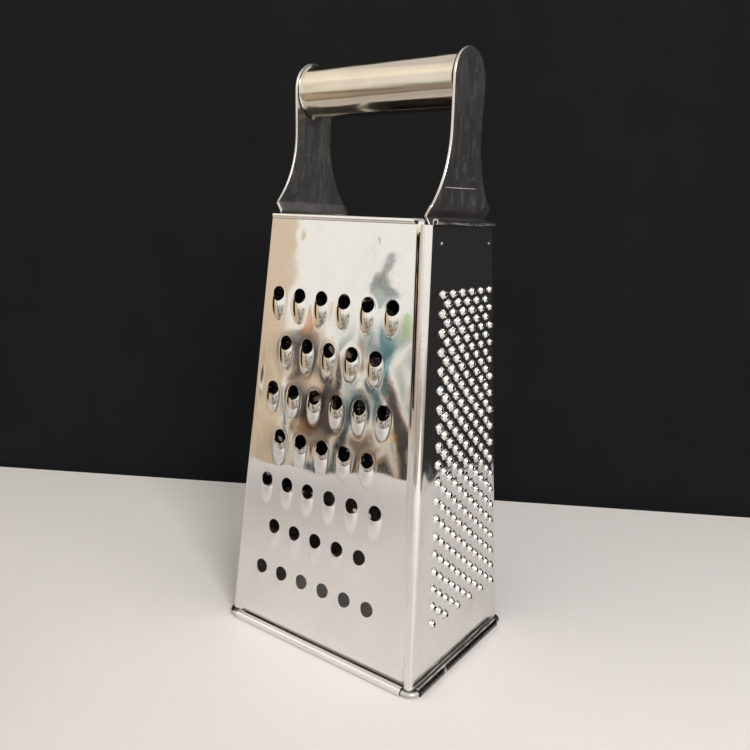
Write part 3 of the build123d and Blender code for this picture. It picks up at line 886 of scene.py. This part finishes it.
def lathe(name, profile, sides=160, ripple=0.0):
    """profile: closed list of (x, r); turned about the handle's axis."""
    verts, faces = [], []
    n = len(profile)
    for k in range(sides):
        b = 2 * math.pi * k / sides
        for x, r in profile:
            rr = r + ripple * math.sin(3 * b + x * 0.11) * math.sin(x * 0.16 + 1.0)
            verts.append((x, rr * math.cos(b), HZ + rr * math.sin(b)))
    for k in range(sides):
        m = (k + 1) % sides
        for i in range(n):
            j = (i + 1) % n
            faces.append((k * n + i, k * n + j, m * n + j, m * n + i))
    ob = make_object(name, np.array(verts) * MM, faces, weld=0)
    bm = bmesh.new()
    bm.from_mesh(ob.data)
    bmesh.ops.recalc_face_normals(bm, faces=bm.faces)
    bm.to_mesh(ob.data)
    bm.free()
    shade(ob, 35)
    return ob


def tube_profile():
    outer = [(x, TUBE_R) for x in np.linspace(0, TH - FLARE_L, 14)]
    for k in range(1, 9):
        f = k / 8
        outer.append((TH - FLARE_L + FLARE_L * f * 0.97, TUBE_R + (FLARE_TR - TUBE_R - 0.05) * f**2.3))
    outer.append((TH - 0.02, FLARE_TR - 0.12))
    outer.append((TH, FLARE_TR - 0.25))
    inner = [(TH, FLARE_TR - TUBE_T)]
    for k in range(7, 0, -1):
        f = k / 8
        inner.append((TH - FLARE_L + FLARE_L * f * 0.97, TUBE_R - TUBE_T + (FLARE_TR - TUBE_R) * f**2.3))
    inner += [(x, TUBE_R - TUBE_T) for x in np.linspace(TH - FLARE_L, 0, 6)]
    right_half = outer + inner
    left_half = [(-x, r) for x, r in reversed(right_half)]
    # outer left to right, then inner right to left
    top = [(-x, r) for x, r in reversed(outer[1:])] + outer
    bottom = inner + [(-x, r) for x, r in reversed(inner[:-1])]
    return top + bottom


tube = lathe("handle_tube_shell", tube_profile(), ripple=0.03)


# ------------------------------------------------------------------ materials
NICK_Z, NICK_SLOPE, NICK_Y0, NICK_Y1 = 190.57, -0.0296, -14.04, 10.92


def steel(name, base, warm, rough, scratch=0.35, grain=(90.0, 90.0, 90.0), smudge=0.35, haze=0.0, inner=None, bump=0.35, crumple=0.0, nick=False, metal=1.0):
    """Polished sheet steel: colour drifts a little, smudges and fingerprints
    take the shine off it in patches, fine scratches and a faint rolling grain catch light."""
    m = bpy.data.materials.new(name)
    m.use_nodes = True
    nt = m.node_tree
    for n in list(nt.nodes):
        nt.nodes.remove(n)
    N, L = nt.nodes.new, nt.links.new
    out = N("ShaderNodeOutputMaterial")
    bs = N("ShaderNodeBsdfPrincipled")
    L(bs.outputs[0], out.inputs[0])
    bs.inputs["Metallic"].default_value = metal
    co = N("ShaderNodeTexCoord")
    mp = N("ShaderNodeMapping")
    mp.inputs["Scale"].default_value = (1000, 1000, 1000)
    L(co.outputs["Object"], mp.inputs["Vector"])

    def noise(scale, detail=3.0, vec=None, rough_=0.55, dist=0.0):
        n = N("ShaderNodeTexNoise")
        n.inputs["Scale"].default_value = scale
        n.inputs["Detail"].default_value = detail
        n.inputs["Roughness"].default_value = rough_
        n.inputs["Distortion"].default_value = dist
        L(vec or mp.outputs[0], n.inputs["Vector"])
        return n.outputs["Fac"]

    def mapr(src, a, b, c, d):
        n = N("ShaderNodeMapRange")
        n.inputs["From Min"].default_value, n.inputs["From Max"].default_value = a, b
        n.inputs["To Min"].default_value, n.inputs["To Max"].default_value = c, d
        L(src, n.inputs["Value"])
        return n.outputs[0]

    def math_(op, a, b):
        n = N("ShaderNodeMath")
        n.operation = op
        for i, x in enumerate((a, b)):
            if isinstance(x, (int, float)):
                n.inputs[i].default_value = x
            else:
                L(x, n.inputs[i])
        return n.outputs[0]

    patches = mapr(noise(0.045, 4.0, dist=0.6), 0.42, 0.68, 0.0, 1.0)
    prints = mapr(noise(0.35, 5.0, dist=1.2), 0.52, 0.72, 0.0, 1.0)
    tone = N("ShaderNodeMix")
    tone.data_type = "RGBA"
    tone.inputs[6].default_value = (*base, 1)
    tone.inputs[7].default_value = (*warm, 1)
    L(patches, tone.inputs[0])
    dirt = N("ShaderNodeMix")
    dirt.data_type = "RGBA"
    dirt.blend_type = "MULTIPLY"
    L(tone.outputs[2], dirt.inputs[6])
    dirt.inputs[7].default_value = (0.86, 0.83, 0.79, 1)
    L(math_("MULTIPLY", prints, smudge), dirt.inputs[0])
    colour = dirt.outputs[2]
    if inner is not None:
        # painted shade: the side that faces the middle of the body is painted darker and a little brown, for the dim
        # inside of the grater seen through its holes
        flat = N("ShaderNodeVectorMath")
        flat.operation = "MULTIPLY"
        flat.inputs[1].default_value = (1, 1, 0)
        L(co.outputs["Object"], flat.inputs[0])
        dot = N("ShaderNodeVectorMath")
        dot.operation = "DOT_PRODUCT"
        L(flat.outputs[0], dot.inputs[0])
        L(co.outputs["Normal"], dot.inputs[1])
        inside = mapr(dot.outputs["Value"], 0.002, -0.004, 0.0, 1.0)
        inner_shade_mix = N("ShaderNodeMix")
        inner_shade_mix.data_type = "RGBA"
        inner_shade_mix.blend_type = "MULTIPLY"
        L(inside, inner_shade_mix.inputs[0])
        L(colour, inner_shade_mix.inputs[6])
        inner_shade_mix.inputs[7].default_value = (*inner, 1)
        colour = inner_shade_mix.outputs[2]
    if crumple > 5:
        # a darker, mottled belt over the outer side of the rolled foot, from just above its lowest edge
        at = N("ShaderNodeSeparateXYZ")
        L(mp.outputs[0], at.inputs[0])
        outside = mapr(at.outputs[0], 50.25, 50.65, 0.0, 1.0)
        belt = math_("MULTIPLY", outside, mapr(at.outputs[2], 0.25, 0.5, 0.0, 1.0))
        # the belt is left off the knock in the curl, which stays bright
        knock = math_("ABSOLUTE", math_("ADD", at.outputs[1], 15.0), 0.0)
        belt = math_("MULTIPLY", belt, mapr(knock, 0.6, 1.0, 0.0, 1.0))
        gr = N("ShaderNodeMapping")
        gr.inputs["Scale"].default_value = (0.6, 1.5, 0.6)
        L(mp.outputs[0], gr.inputs["Vector"])
        spots_ = mapr(noise(1.0, 4.0, gr.outputs[0], 0.7), 0.68, 0.55, 0.0, 1.0)
        dark_belt = N("ShaderNodeMix")
        dark_belt.data_type = "RGBA"
        dark_belt.blend_type = "MULTIPLY"
        L(math_("MULTIPLY", belt, spots_), dark_belt.inputs[0])
        L(colour, dark_belt.inputs[6])
        dark_belt.inputs[7].default_value = (0.10, 0.085, 0.075, 1)
        colour = dark_belt.outputs[2]
    L(colour, bs.inputs["Base Color"])
    r = math_("ADD", rough, math_("MULTIPLY", patches, 0.05 * smudge / 0.35))
    r = math_("ADD", r, math_("MULTIPLY", prints, 0.09 * smudge / 0.35))

    # fine scratches: thin lines cut out of stretched noise
    lines = []
    for i, (rot, sx, sy, sz) in enumerate(((0.15, 4.0, 4.0, 0.10), (0.9, 3.0, 3.0, 0.12), (-0.5, 5.0, 5.0, 0.16))):
        g = N("ShaderNodeMapping")
        g.inputs["Rotation"].default_value = (rot, rot * 0.8, rot * 0.5)
        g.inputs["Scale"].default_value = (sx, sy, sz)
        L(mp.outputs[0], g.inputs["Vector"])
        f = noise(1.0, 2.0, g.outputs[0])
        lines.append(mapr(f, 0.66, 0.72, 0.0, 1.0))
    sc = math_("MAXIMUM", math_("MAXIMUM", lines[0], lines[1]), lines[2])
    where = mapr(noise(0.06, 2.0), 0.45, 0.65, 0.15, 1.0)
    sc = math_("MULTIPLY", sc, where)
    r = math_("ADD", r, math_("MULTIPLY", sc, 0.22 * scratch))
    if haze:
        # a fine haze of wiping marks that run up and down
        hz = N("ShaderNodeMapping")
        hz.inputs["Scale"].default_value = (0.5, 0.5, 0.10)
        L(mp.outputs[0], hz.inputs["Vector"])
        wipe = mapr(noise(1.0, 3.0, hz.outputs[0], 0.5), 0.50, 0.74, 0.0, 1.0)
        r = math_("ADD", r, math_("MULTIPLY", wipe, haze))

    h = math_("MULTIPLY", sc, -0.25 * scratch)
    gm = N("ShaderNodeMapping")
    gm.inputs["Scale"].default_value = grain
    L(co.outputs["Object"], gm.inputs["Vector"])
    grain_n = noise(1.0, 3.0, gm.outputs[0])
    h = math_("ADD", h, math_("MULTIPLY", grain_n, 0.10))
    if crumple:
        # the rolled foot of the sheet is rough from the rolling
        xyz = N("ShaderNodeSeparateXYZ")
        L(mp.outputs[0], xyz.inputs[0])
        low = mapr(xyz.outputs[2], 3.95, 3.7, 0.0, 1.0)
        rough_n = noise(1.2, 3.0, rough_=0.6)
        h = math_("ADD", h, math_("MULTIPLY", math_("MULTIPLY", rough_n, low), crumple))
        st = N("ShaderNodeMapping")
        st.inputs["Scale"].default_value = (1.6, 0.16, 1.6)
        L(mp.outputs[0], st.inputs["Vector"])
        streak = mapr(noise(1.0, 4.0, st.outputs[0], 0.65), 0.40, 0.60, 0.25, 1.0)
        over = math_("MULTIPLY", mapr(xyz.outputs[2], 2.75, 3.0, 0.0, 1.0), low)
        if crumple > 5:
            over = math_("MULTIPLY", over, math_("SUBTRACT", 1.0, outside))
        hem = math_("MULTIPLY", mapr(xyz.outputs[2], 177.0, 177.2, 0.0, 1.0), mapr(xyz.outputs[2], 178.35, 177.95, 0.0, 1.0))
        scuffed = math_("MULTIPLY", math_("MAXIMUM", math_("MULTIPLY", over, 1.9), hem), streak)
        r = math_("ADD", r, math_("MULTIPLY", scuffed, 0.018 * crumple))
    if nick:
        # one long pale scratch across the foot of a strap
        pos = N("ShaderNodeSeparateXYZ")
        L(mp.outputs[0], pos.inputs[0])
        level = math_("ADD", pos.outputs[2], math_("MULTIPLY", pos.outputs[1], NICK_SLOPE))
        line = mapr(math_("ABSOLUTE", math_("SUBTRACT", level, NICK_Z), 0.0), 0.22, 0.08, 0.0, 1.0)
        span = math_("MULTIPLY", mapr(pos.outputs[1], NICK_Y0, NICK_Y0 + 1.0, 0.0, 1.0), mapr(pos.outputs[1], NICK_Y1, NICK_Y1 - 5.0, 0.0, 1.0))
        on = math_("MULTIPLY", math_("MULTIPLY", line, span), mapr(pos.outputs[0], 30.0, 31.0, 0.0, 1.0))
        r = math_("ADD", r, math_("MULTIPLY", math_("MULTIPLY", on, mapr(noise(1.4, 2.0), 0.42, 0.55, 0.25, 1.0)), 0.6))
    L(r, bs.inputs["Roughness"])
    bp = N("ShaderNodeBump")
    bp.inputs["Strength"].default_value = bump
    bp.inputs["Distance"].default_value = 0.00004
    L(h, bp.inputs["Height"])
    L(bp.outputs[0], bs.inputs["Normal"])
    return m


# inner: painted shade on the sides that face the middle of the body, darkest on the rasp panel
panel_mat = steel("panel_steel_look", (0.79, 0.783, 0.772), (0.765, 0.752, 0.733), 0.026, scratch=0.26, grain=(260, 260, 26), smudge=0.16, inner=(0.40, 0.36, 0.33), bump=0.16, crumple=1.0)
rasp_mat = steel("rasp_steel_look", (0.79, 0.783, 0.775), (0.75, 0.735, 0.715), 0.06, scratch=0.4, grain=(260, 260, 26), smudge=0.35, inner=(0.17, 0.15, 0.14), bump=0.25, crumple=22.0, metal=0.986)
strap_mat = steel("strap_steel_look", (0.70, 0.69, 0.68), (0.67, 0.655, 0.64), 0.274, scratch=0.70, grain=(400, 400, 34), smudge=0.3, haze=0.06, bump=0.008, nick=True)
tube_mat = steel("tube_steel_look", (0.68, 0.61, 0.52), (0.63, 0.555, 0.46), 0.12, scratch=0.3, grain=(12, 260, 260), smudge=0.14, bump=0.2)
wire_mat = steel("wire_steel_look", (0.66, 0.65, 0.63), (0.50, 0.48, 0.46), 0.2, scratch=0.8, grain=(300, 300, 300), smudge=0.8)
cup_mat = steel("cup_steel_look", (0.60, 0.59, 0.58), (0.52, 0.50, 0.48), 0.3, scratch=0.5, grain=(300, 300, 300), smudge=0.6)


looks = {
    front: ("front_panel", "panel_steel", panel_mat),
    right: ("right_panel", "panel_steel", rasp_mat),
    back: ("back_panel", "panel_steel", panel_mat),
    left: ("left_panel", "panel_steel", panel_mat),
    ring: ("base_wire_ring", "wire_steel", wire_mat),
    right_strap: ("right_strap", "strap_steel", strap_mat),
    left_strap: ("left_strap", "strap_steel", strap_mat),
    tube: ("handle_tube", "tube_steel", tube_mat),
}
for ob, (node, slot_name, mat) in looks.items():
    ob.data.materials.clear()
    ob.data.materials.append(mat)
    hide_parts(node)
    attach(ob, "root")

for node in ("right_end_cup", "left_end_cup"):
    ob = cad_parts[node]
    ob.data.materials.clear()
    ob.data.materials.append(cup_mat)


# --------------------------------------------------------------------- stage
def plain(name, colour, rough, amount=0.06, scale=9.0, bump=0.0, spec=0.5):
    m = bpy.data.materials.new(name)
    m.use_nodes = True
    nt = m.node_tree
    bs = nt.nodes["Principled BSDF"]
    co = nt.nodes.new("ShaderNodeTexCoord")
    no = nt.nodes.new("ShaderNodeTexNoise")
    no.inputs["Scale"].default_value = scale
    no.inputs["Detail"].default_value = 4.0
    nt.links.new(co.outputs["Object"], no.inputs["Vector"])
    mix = nt.nodes.new("ShaderNodeMix")
    mix.data_type = "RGBA"
    mix.inputs[6].default_value = (*[c * (1 - amount) for c in colour], 1)
    mix.inputs[7].default_value = (*[min(1.0, c * (1 + amount)) for c in colour], 1)
    nt.links.new(no.outputs["Fac"], mix.inputs[0])
    nt.links.new(mix.outputs[2], bs.inputs["Base Color"])
    bs.inputs["Roughness"].default_value = rough
    bs.inputs["Specular IOR Level"].default_value = spec
    if bump:
        bp = nt.nodes.new("ShaderNodeBump")
        bp.inputs["Strength"].default_value = bump
        bp.inputs["Distance"].default_value = 0.002
        nt.links.new(no.outputs["Fac"], bp.inputs["Height"])
        nt.links.new(bp.outputs[0], bs.inputs["Normal"])
    return m


def stage_mesh(name, verts, faces, mat):
    me = bpy.data.meshes.new(name)
    me.from_pydata([Vector(v) for v in verts], [], faces)
    me.update()
    ob = bpy.data.objects.new(name, me)
    ob.data.materials.append(mat)
    bpy.context.scene.collection.objects.link(ob)
    return ob


floor_mat = plain("pale_floor", (0.805, 0.776, 0.779), 0.5, 0.025, 7.0, spec=0.3)


def painted_shade_patch(mat, x, y, radius, factor):
    """Paints soft shade (factor under 1) or light (factor over 1) onto the floor about a point."""
    nt = mat.node_tree
    bs = nt.nodes["Principled BSDF"]
    before = bs.inputs["Base Color"].links[0].from_socket
    co_ = nt.nodes.new("ShaderNodeTexCoord")
    dist = nt.nodes.new("ShaderNodeVectorMath")
    dist.operation = "DISTANCE"
    dist.inputs[1].default_value = (x, y, 0.0)
    nt.links.new(co_.outputs["Object"], dist.inputs[0])
    fall = nt.nodes.new("ShaderNodeMapRange")
    fall.interpolation_type = "SMOOTHSTEP"
    fall.inputs["From Min"].default_value, fall.inputs["From Max"].default_value = radius, 0.0
    nt.links.new(dist.outputs["Value"], fall.inputs["Value"])
    mx = nt.nodes.new("ShaderNodeMix")
    mx.data_type = "RGBA"
    mx.blend_type = "MULTIPLY"
    nt.links.new(fall.outputs[0], mx.inputs[0])
    nt.links.new(before, mx.inputs[6])
    mx.inputs[7].default_value = (factor, factor, factor, 1)
    nt.links.new(mx.outputs[2], bs.inputs["Base Color"])


# painted shadow on the floor in front of the grater: deep to the front left, where the front panel and the tube mirror
# it, fainter straight in front
painted_shade_patch(floor_mat, -0.15, -0.22, 0.17, 0.66)
painted_shade_patch(floor_mat, 0.04, -0.13, 0.22, 0.88)
floor = stage_mesh(
    "floor", [(-0.505, -0.122, 0), (0.90, -0.916, 0), (0.90, -0.587, 0), (0.161, 0.278, 0)], [(0, 1, 2, 3)], floor_mat
)

# dark cloth behind the floor, with slack folds
cloth_mat = plain("dark_cloth", (0.0105, 0.0105, 0.0115), 0.95, 0.2, 30.0, spec=0.04)
verts, faces = [], []
A, Bp = Vector((-1.6, -0.787, 0)), Vector((1.9, 1.330, 0))
out = Vector((-(Bp - A).y, (Bp - A).x, 0)).normalized()
nu, nv = 90, 12
for j in range(nv + 1):
    for i in range(nu + 1):
        u = i / nu
        p = A + (Bp - A) * u + out * (0.012 + 0.004 * math.sin(u * 61) + 0.003 * math.sin(u * 143 + j * 0.3))
        verts.append((p.x, p.y, -0.6 + 1.12 * j / nv))
for j in range(nv):
    for i in range(nu):
        a = j * (nu + 1) + i
        faces.append((a, a + 1, a + nu + 2, a + nu + 1))
backdrop = stage_mesh("backdrop", verts, faces, cloth_mat)


def glow(name, stops, patch_z, patch_scale, patches, strength, side=None, spots_at=()):
    """A softly lit wall: its tone changes with height, and between two
    heights it is mottled. spots_at: (angle, height, half width, half height,
    colour) of single soft-edged spots on it."""
    peak = max(max(c) for _, c in stops)
    stops = [(z, tuple(v / peak for v in c)) for z, c in stops]
    if side is not None:
        side = (side[0], side[1], [(z, tuple(v / peak for v in c)) for z, c in side[2]])
    strength = strength * peak
    m = bpy.data.materials.new(name)
    m.use_nodes = True
    nt = m.node_tree
    for n in list(nt.nodes):
        nt.nodes.remove(n)
    N, L = nt.nodes.new, nt.links.new
    out_ = N("ShaderNodeOutputMaterial")
    em = N("ShaderNodeEmission")
    em.inputs["Strength"].default_value = strength
    L(em.outputs[0], out_.inputs[0])
    co = N("ShaderNodeTexCoord")
    sep = N("ShaderNodeSeparateXYZ")
    L(co.outputs["Object"], sep.inputs[0])

    def ramp(src, a, b, pts, mode="LINEAR"):
        mr = N("ShaderNodeMapRange")
        mr.inputs["From Min"].default_value, mr.inputs["From Max"].default_value = a, b
        L(src, mr.inputs["Value"])
        r = N("ShaderNodeValToRGB")
        r.color_ramp.interpolation = mode
        el_ = r.color_ramp.elements
        while len(el_) < len(pts):
            el_.new(0.5)
        for e, (x, c) in zip(el_, pts):
            e.position = x
            e.color = (*c, 1)
        L(mr.outputs[0], r.inputs[0])
        return r.outputs[0]

    z0, z1 = stops[0][0], stops[-1][0]
    tone = ramp(sep.outputs[2], z0, z1, [((z - z0) / (z1 - z0), c) for z, c in stops])
    if side is not None:
        other = ramp(sep.outputs[2], z0, z1, [((z - z0) / (z1 - z0), c) for z, c in side[2]])
        mx = N("ShaderNodeMix")
        mx.data_type = "RGBA"
        f = N("ShaderNodeMapRange")
        f.inputs["From Min"].default_value, f.inputs["From Max"].default_value = side[0], side[1]
        # runs along the wall, left to right
        dotp = N("ShaderNodeVectorMath")
        dotp.operation = "DOT_PRODUCT"
        dotp.inputs[1].default_value = (0.819, -0.574, 0.0)
        L(co.outputs["Object"], dotp.inputs[0])
        L(dotp.outputs["Value"], f.inputs["Value"])
        L(f.outputs[0], mx.inputs[0])
        L(other, mx.inputs[6])
        L(tone, mx.inputs[7])
        tone = mx.outputs[2]
    mp = N("ShaderNodeMapping")
    mp.inputs["Scale"].default_value = patch_scale
    L(co.outputs["Object"], mp.inputs["Vector"])
    no = N("ShaderNodeTexNoise")
    no.inputs["Scale"].default_value = 1.0
    no.inputs["Detail"].default_value = 2.0
    no.inputs["Distortion"].default_value = 0.9
    L(mp.outputs[0], no.inputs["Vector"])
    spots = ramp(no.outputs["Fac"], 0.38, 0.62, patches)
    band = ramp(sep.outputs[2], patch_z[0], patch_z[3], [
        (0.0, (0, 0, 0)), ((patch_z[1] - patch_z[0]) / (patch_z[3] - patch_z[0]), (1, 1, 1)),
        ((patch_z[2] - patch_z[0]) / (patch_z[3] - patch_z[0]), (1, 1, 1)), (1.0, (0, 0, 0)),
    ])
    mul = N("ShaderNodeMix")
    mul.data_type = "RGBA"
    mul.blend_type = "MULTIPLY"
    if side is not None:
        # the side part of the wall is nearly plain
        keep = N("ShaderNodeMapRange")
        keep.inputs["To Min"].default_value = 0.22
        L(f.outputs[0], keep.inputs["Value"])
        both = N("ShaderNodeMath")
        both.operation = "MULTIPLY"
        L(band, both.inputs[0])
        L(keep.outputs[0], both.inputs[1])
        band = both.outputs[0]
    L(band, mul.inputs[0])
    L(tone, mul.inputs[6])
    L(spots, mul.inputs[7])
    colour = mul.outputs[2]
    for k, (t, z, wide, tall, c) in enumerate(spots_at):
        shake = N("ShaderNodeTexNoise")
        shake.inputs["Scale"].default_value = 0.9 / min(wide, tall)
        shake.inputs["Detail"].default_value = 2.0
        L(co.outputs["Object"], shake.inputs["Vector"])
        along = N("ShaderNodeVectorMath")
        along.operation = "DOT_PRODUCT"
        along.inputs[1].default_value = (math.cos(math.radians(t)) / wide, math.sin(math.radians(t)) / wide, 0.0)
        L(co.outputs["Object"], along.inputs[0])
        up = N("ShaderNodeMapRange")
        up.clamp = False
        up.inputs["From Min"].default_value, up.inputs["From Max"].default_value = z - tall, z + tall
        up.inputs["To Min"].default_value, up.inputs["To Max"].default_value = -1.0, 1.0
        L(sep.outputs[2], up.inputs["Value"])

        def m2(op, a, b):
            n = N("ShaderNodeMath")
            n.operation = op
            for i_, x in enumerate((a, b)):
                if isinstance(x, (int, float)):
                    n.inputs[i_].default_value = x
                else:
                    L(x, n.inputs[i_])
            return n.outputs[0]

        d2 = m2("ADD", m2("MULTIPLY", along.outputs["Value"], along.outputs["Value"]), m2("MULTIPLY", up.outputs[0], up.outputs[0]))
        d2 = m2("ADD", d2, m2("MULTIPLY", m2("SUBTRACT", shake.outputs["Fac"], 0.5), 2.4))
        edge = N("ShaderNodeMapRange")
        edge.inputs["From Min"].default_value, edge.inputs["From Max"].default_value = 1.12, 0.82
        L(d2, edge.inputs["Value"])
        mm = N("ShaderNodeMix")
        mm.data_type = "RGBA"
        mm.blend_type = "MULTIPLY"
        L(edge.outputs[0], mm.inputs[0])
        L(colour, mm.inputs[6])
        mm.inputs[7].default_value = (*c, 1)
        colour = mm.outputs[2]
    L(colour, em.inputs["Color"])
    return m


def wall(name, t0, t1, radius, z0, z1, mat, steps=40):
    """Part of a round wall about the grater, angles from straight in front
    (-Y), positive to the right."""
    vs, fs = [], []
    for i in range(steps + 1):
        t = math.radians(t0 + (t1 - t0) * i / steps)
        for z in (z0, z1):
            vs.append((radius * math.sin(t), -radius * math.cos(t), z))
    for i in range(steps):
        a_ = 2 * i
        fs.append((a_, a_ + 1, a_ + 3, a_ + 2))
    return stage_mesh(name, vs, fs, mat)


wall("room_wall", -92, 118, 1.5, -0.7, 2.2, glow(
    "room_wall_look",
    [(-0.7, (0.20, 0.16, 0.13)), (-0.32, (0.42, 0.35, 0.29)), (-0.10, (0.82, 0.76, 0.67)), (0.08, (0.93, 0.90, 0.83)),
     (0.5, (1.0, 0.97, 0.91)), (0.8, (0.98, 0.94, 0.87)), (1.2, (1.22, 1.15, 1.03)), (2.2, (0.95, 0.90, 0.81))],
    (-0.35, -0.27, 0.02, 0.13), (13.0, 13.0, 4.5),
    [(0.0, (0.10, 0.09, 0.09)), (0.18, (0.40, 0.33, 0.28)), (0.30, (0.80, 0.64, 0.52)), (0.38, (1.0, 0.97, 0.93)), (0.60, (1, 1, 1)),
     (0.68, (0.74, 0.75, 0.72)), (0.80, (0.36, 0.45, 0.48)), (1.0, (0.10, 0.15, 0.17))],
    1.08,
    side=(-0.186, -0.178, [(-0.7, (0.2, 0.16, 0.12)), (-0.32, (0.60, 0.47, 0.33)), (0.1, (0.72, 0.57, 0.41)), (0.45, (0.74, 0.61, 0.45)), (0.8, (0.95, 0.89, 0.79)), (1.2, (1.22, 1.15, 1.03)), (2.2, (0.95, 0.90, 0.82))]),
    spots_at=[
        (-33.8, 0.180, 0.028, 0.040, (0.34, 0.36, 0.37)),
        (-33.5, 0.245, 0.012, 0.045, (0.42, 0.44, 0.45)),
        (-33.9, 0.158, 0.020, 0.020, (1.5, 1.58, 1.5)),
        (-32.2, 0.015, 0.024, 0.085, (0.30, 0.52, 0.60)),
        (-34.4, 0.060, 0.012, 0.035, (0.50, 0.58, 0.56)),
        (-40.3, 0.082, 0.022, 0.055, (0.82, 0.54, 0.40)),
        (-38.2, 0.125, 0.011, 0.024, (0.86, 0.70, 0.54)),
        (-36.9, -0.03, 0.012, 0.050, (0.34, 0.31, 0.30)),
        (-34.6, -0.115, 0.012, 0.045, (0.42, 0.34, 0.30)),
        (-39.0, -0.13, 0.016, 0.055, (0.60, 0.43, 0.33)),
        (-35.9, -0.21, 0.018, 0.030, (0.36, 0.33, 0.32)),
        (-31.0, 0.100, 0.009, 0.024, (0.60, 0.80, 0.40)),
        (-31.2, -0.175, 0.022, 0.022, (0.95, 0.72, 0.38)),
        (-43.0, 1.06, 0.60, 0.022, (1.22, 1.22, 1.2)),
    ],
))
disc = [(3.2 * math.cos(math.radians(a_)), 3.2 * math.sin(math.radians(a_)), 2.25) for a_ in range(0, 360, 10)]
stage_mesh("ceiling", disc, [tuple(range(36))], glow(
    "ceiling_look", [(2.0, (0.93, 0.90, 0.87)), (2.5, (0.93, 0.90, 0.87))], (3.0, 3.1, 3.2, 3.3), (2, 2, 2),
    [(0.0, (1, 1, 1)), (1.0, (1, 1, 1))], 0.85,
))


def area(name, loc, target, size_, energy, colour):
    li = bpy.data.lights.new(name, "AREA")
    li.shape = "RECTANGLE"
    li.size, li.size_y = size_
    li.energy = energy
    li.color = colour
    ob = bpy.data.objects.new(name, li)
    ob.location = loc
    ob.rotation_mode = "QUATERNION"
    ob.rotation_quaternion = (Vector(target) - Vector(loc)).to_track_quat("-Z", "Y")
    bpy.context.scene.collection.objects.link(ob)
    return ob


area("key", (1.10, -0.68, 0.95), (0, -0.03, 0.0), (0.42, 0.42), 13.4, (1.0, 0.985, 0.965))

world = bpy.data.worlds.new("studio")
world.use_nodes = True
world.node_tree.nodes["Background"].inputs[0].default_value = (0.60, 0.58, 0.56, 1)
world.node_tree.nodes["Background"].inputs[1].default_value = 0.12
bpy.context.scene.world = world
bpy.context.scene.view_settings.view_transform = "Standard"
bpy.context.scene.view_settings.look = "None"

# --------------------------------------------------------------------- camera
az, el, roll = (math.radians(v) for v in (35.1979, 12.3967, 2.3541))
focal, cx, cy = 724.18, 376.34, 379.18
fwd = Vector((-math.sin(az) * math.cos(el), math.cos(az) * math.cos(el), -math.sin(el)))
rgt = Vector((math.cos(az), math.sin(az), 0))
upv = rgt.cross(fwd)
R0 = math.cos(roll) * rgt + math.sin(roll) * upv
U0 = -math.sin(roll) * rgt + math.cos(roll) * upv
cam = bpy.data.cameras.new("camera")
cam.sensor_width = 36.0
cam.lens = focal * 36.0 / 750.0
cam.shift_x = -(cx - 375.0) / 750.0
cam.shift_y = (cy - 375.0) / 750.0
cam.clip_start, cam.clip_end = 0.01, 20.0
cam_ob = bpy.data.objects.new("camera", cam)
rot = Matrix((R0, U0, -fwd)).transposed()
cam_ob.matrix_world = Matrix.Translation(Vector((0.1741973, -0.2456892, 0.1777921))) @ rot.to_4x4()
bpy.context.scene.collection.objects.link(cam_ob)
bpy.context.scene.camera = cam_ob
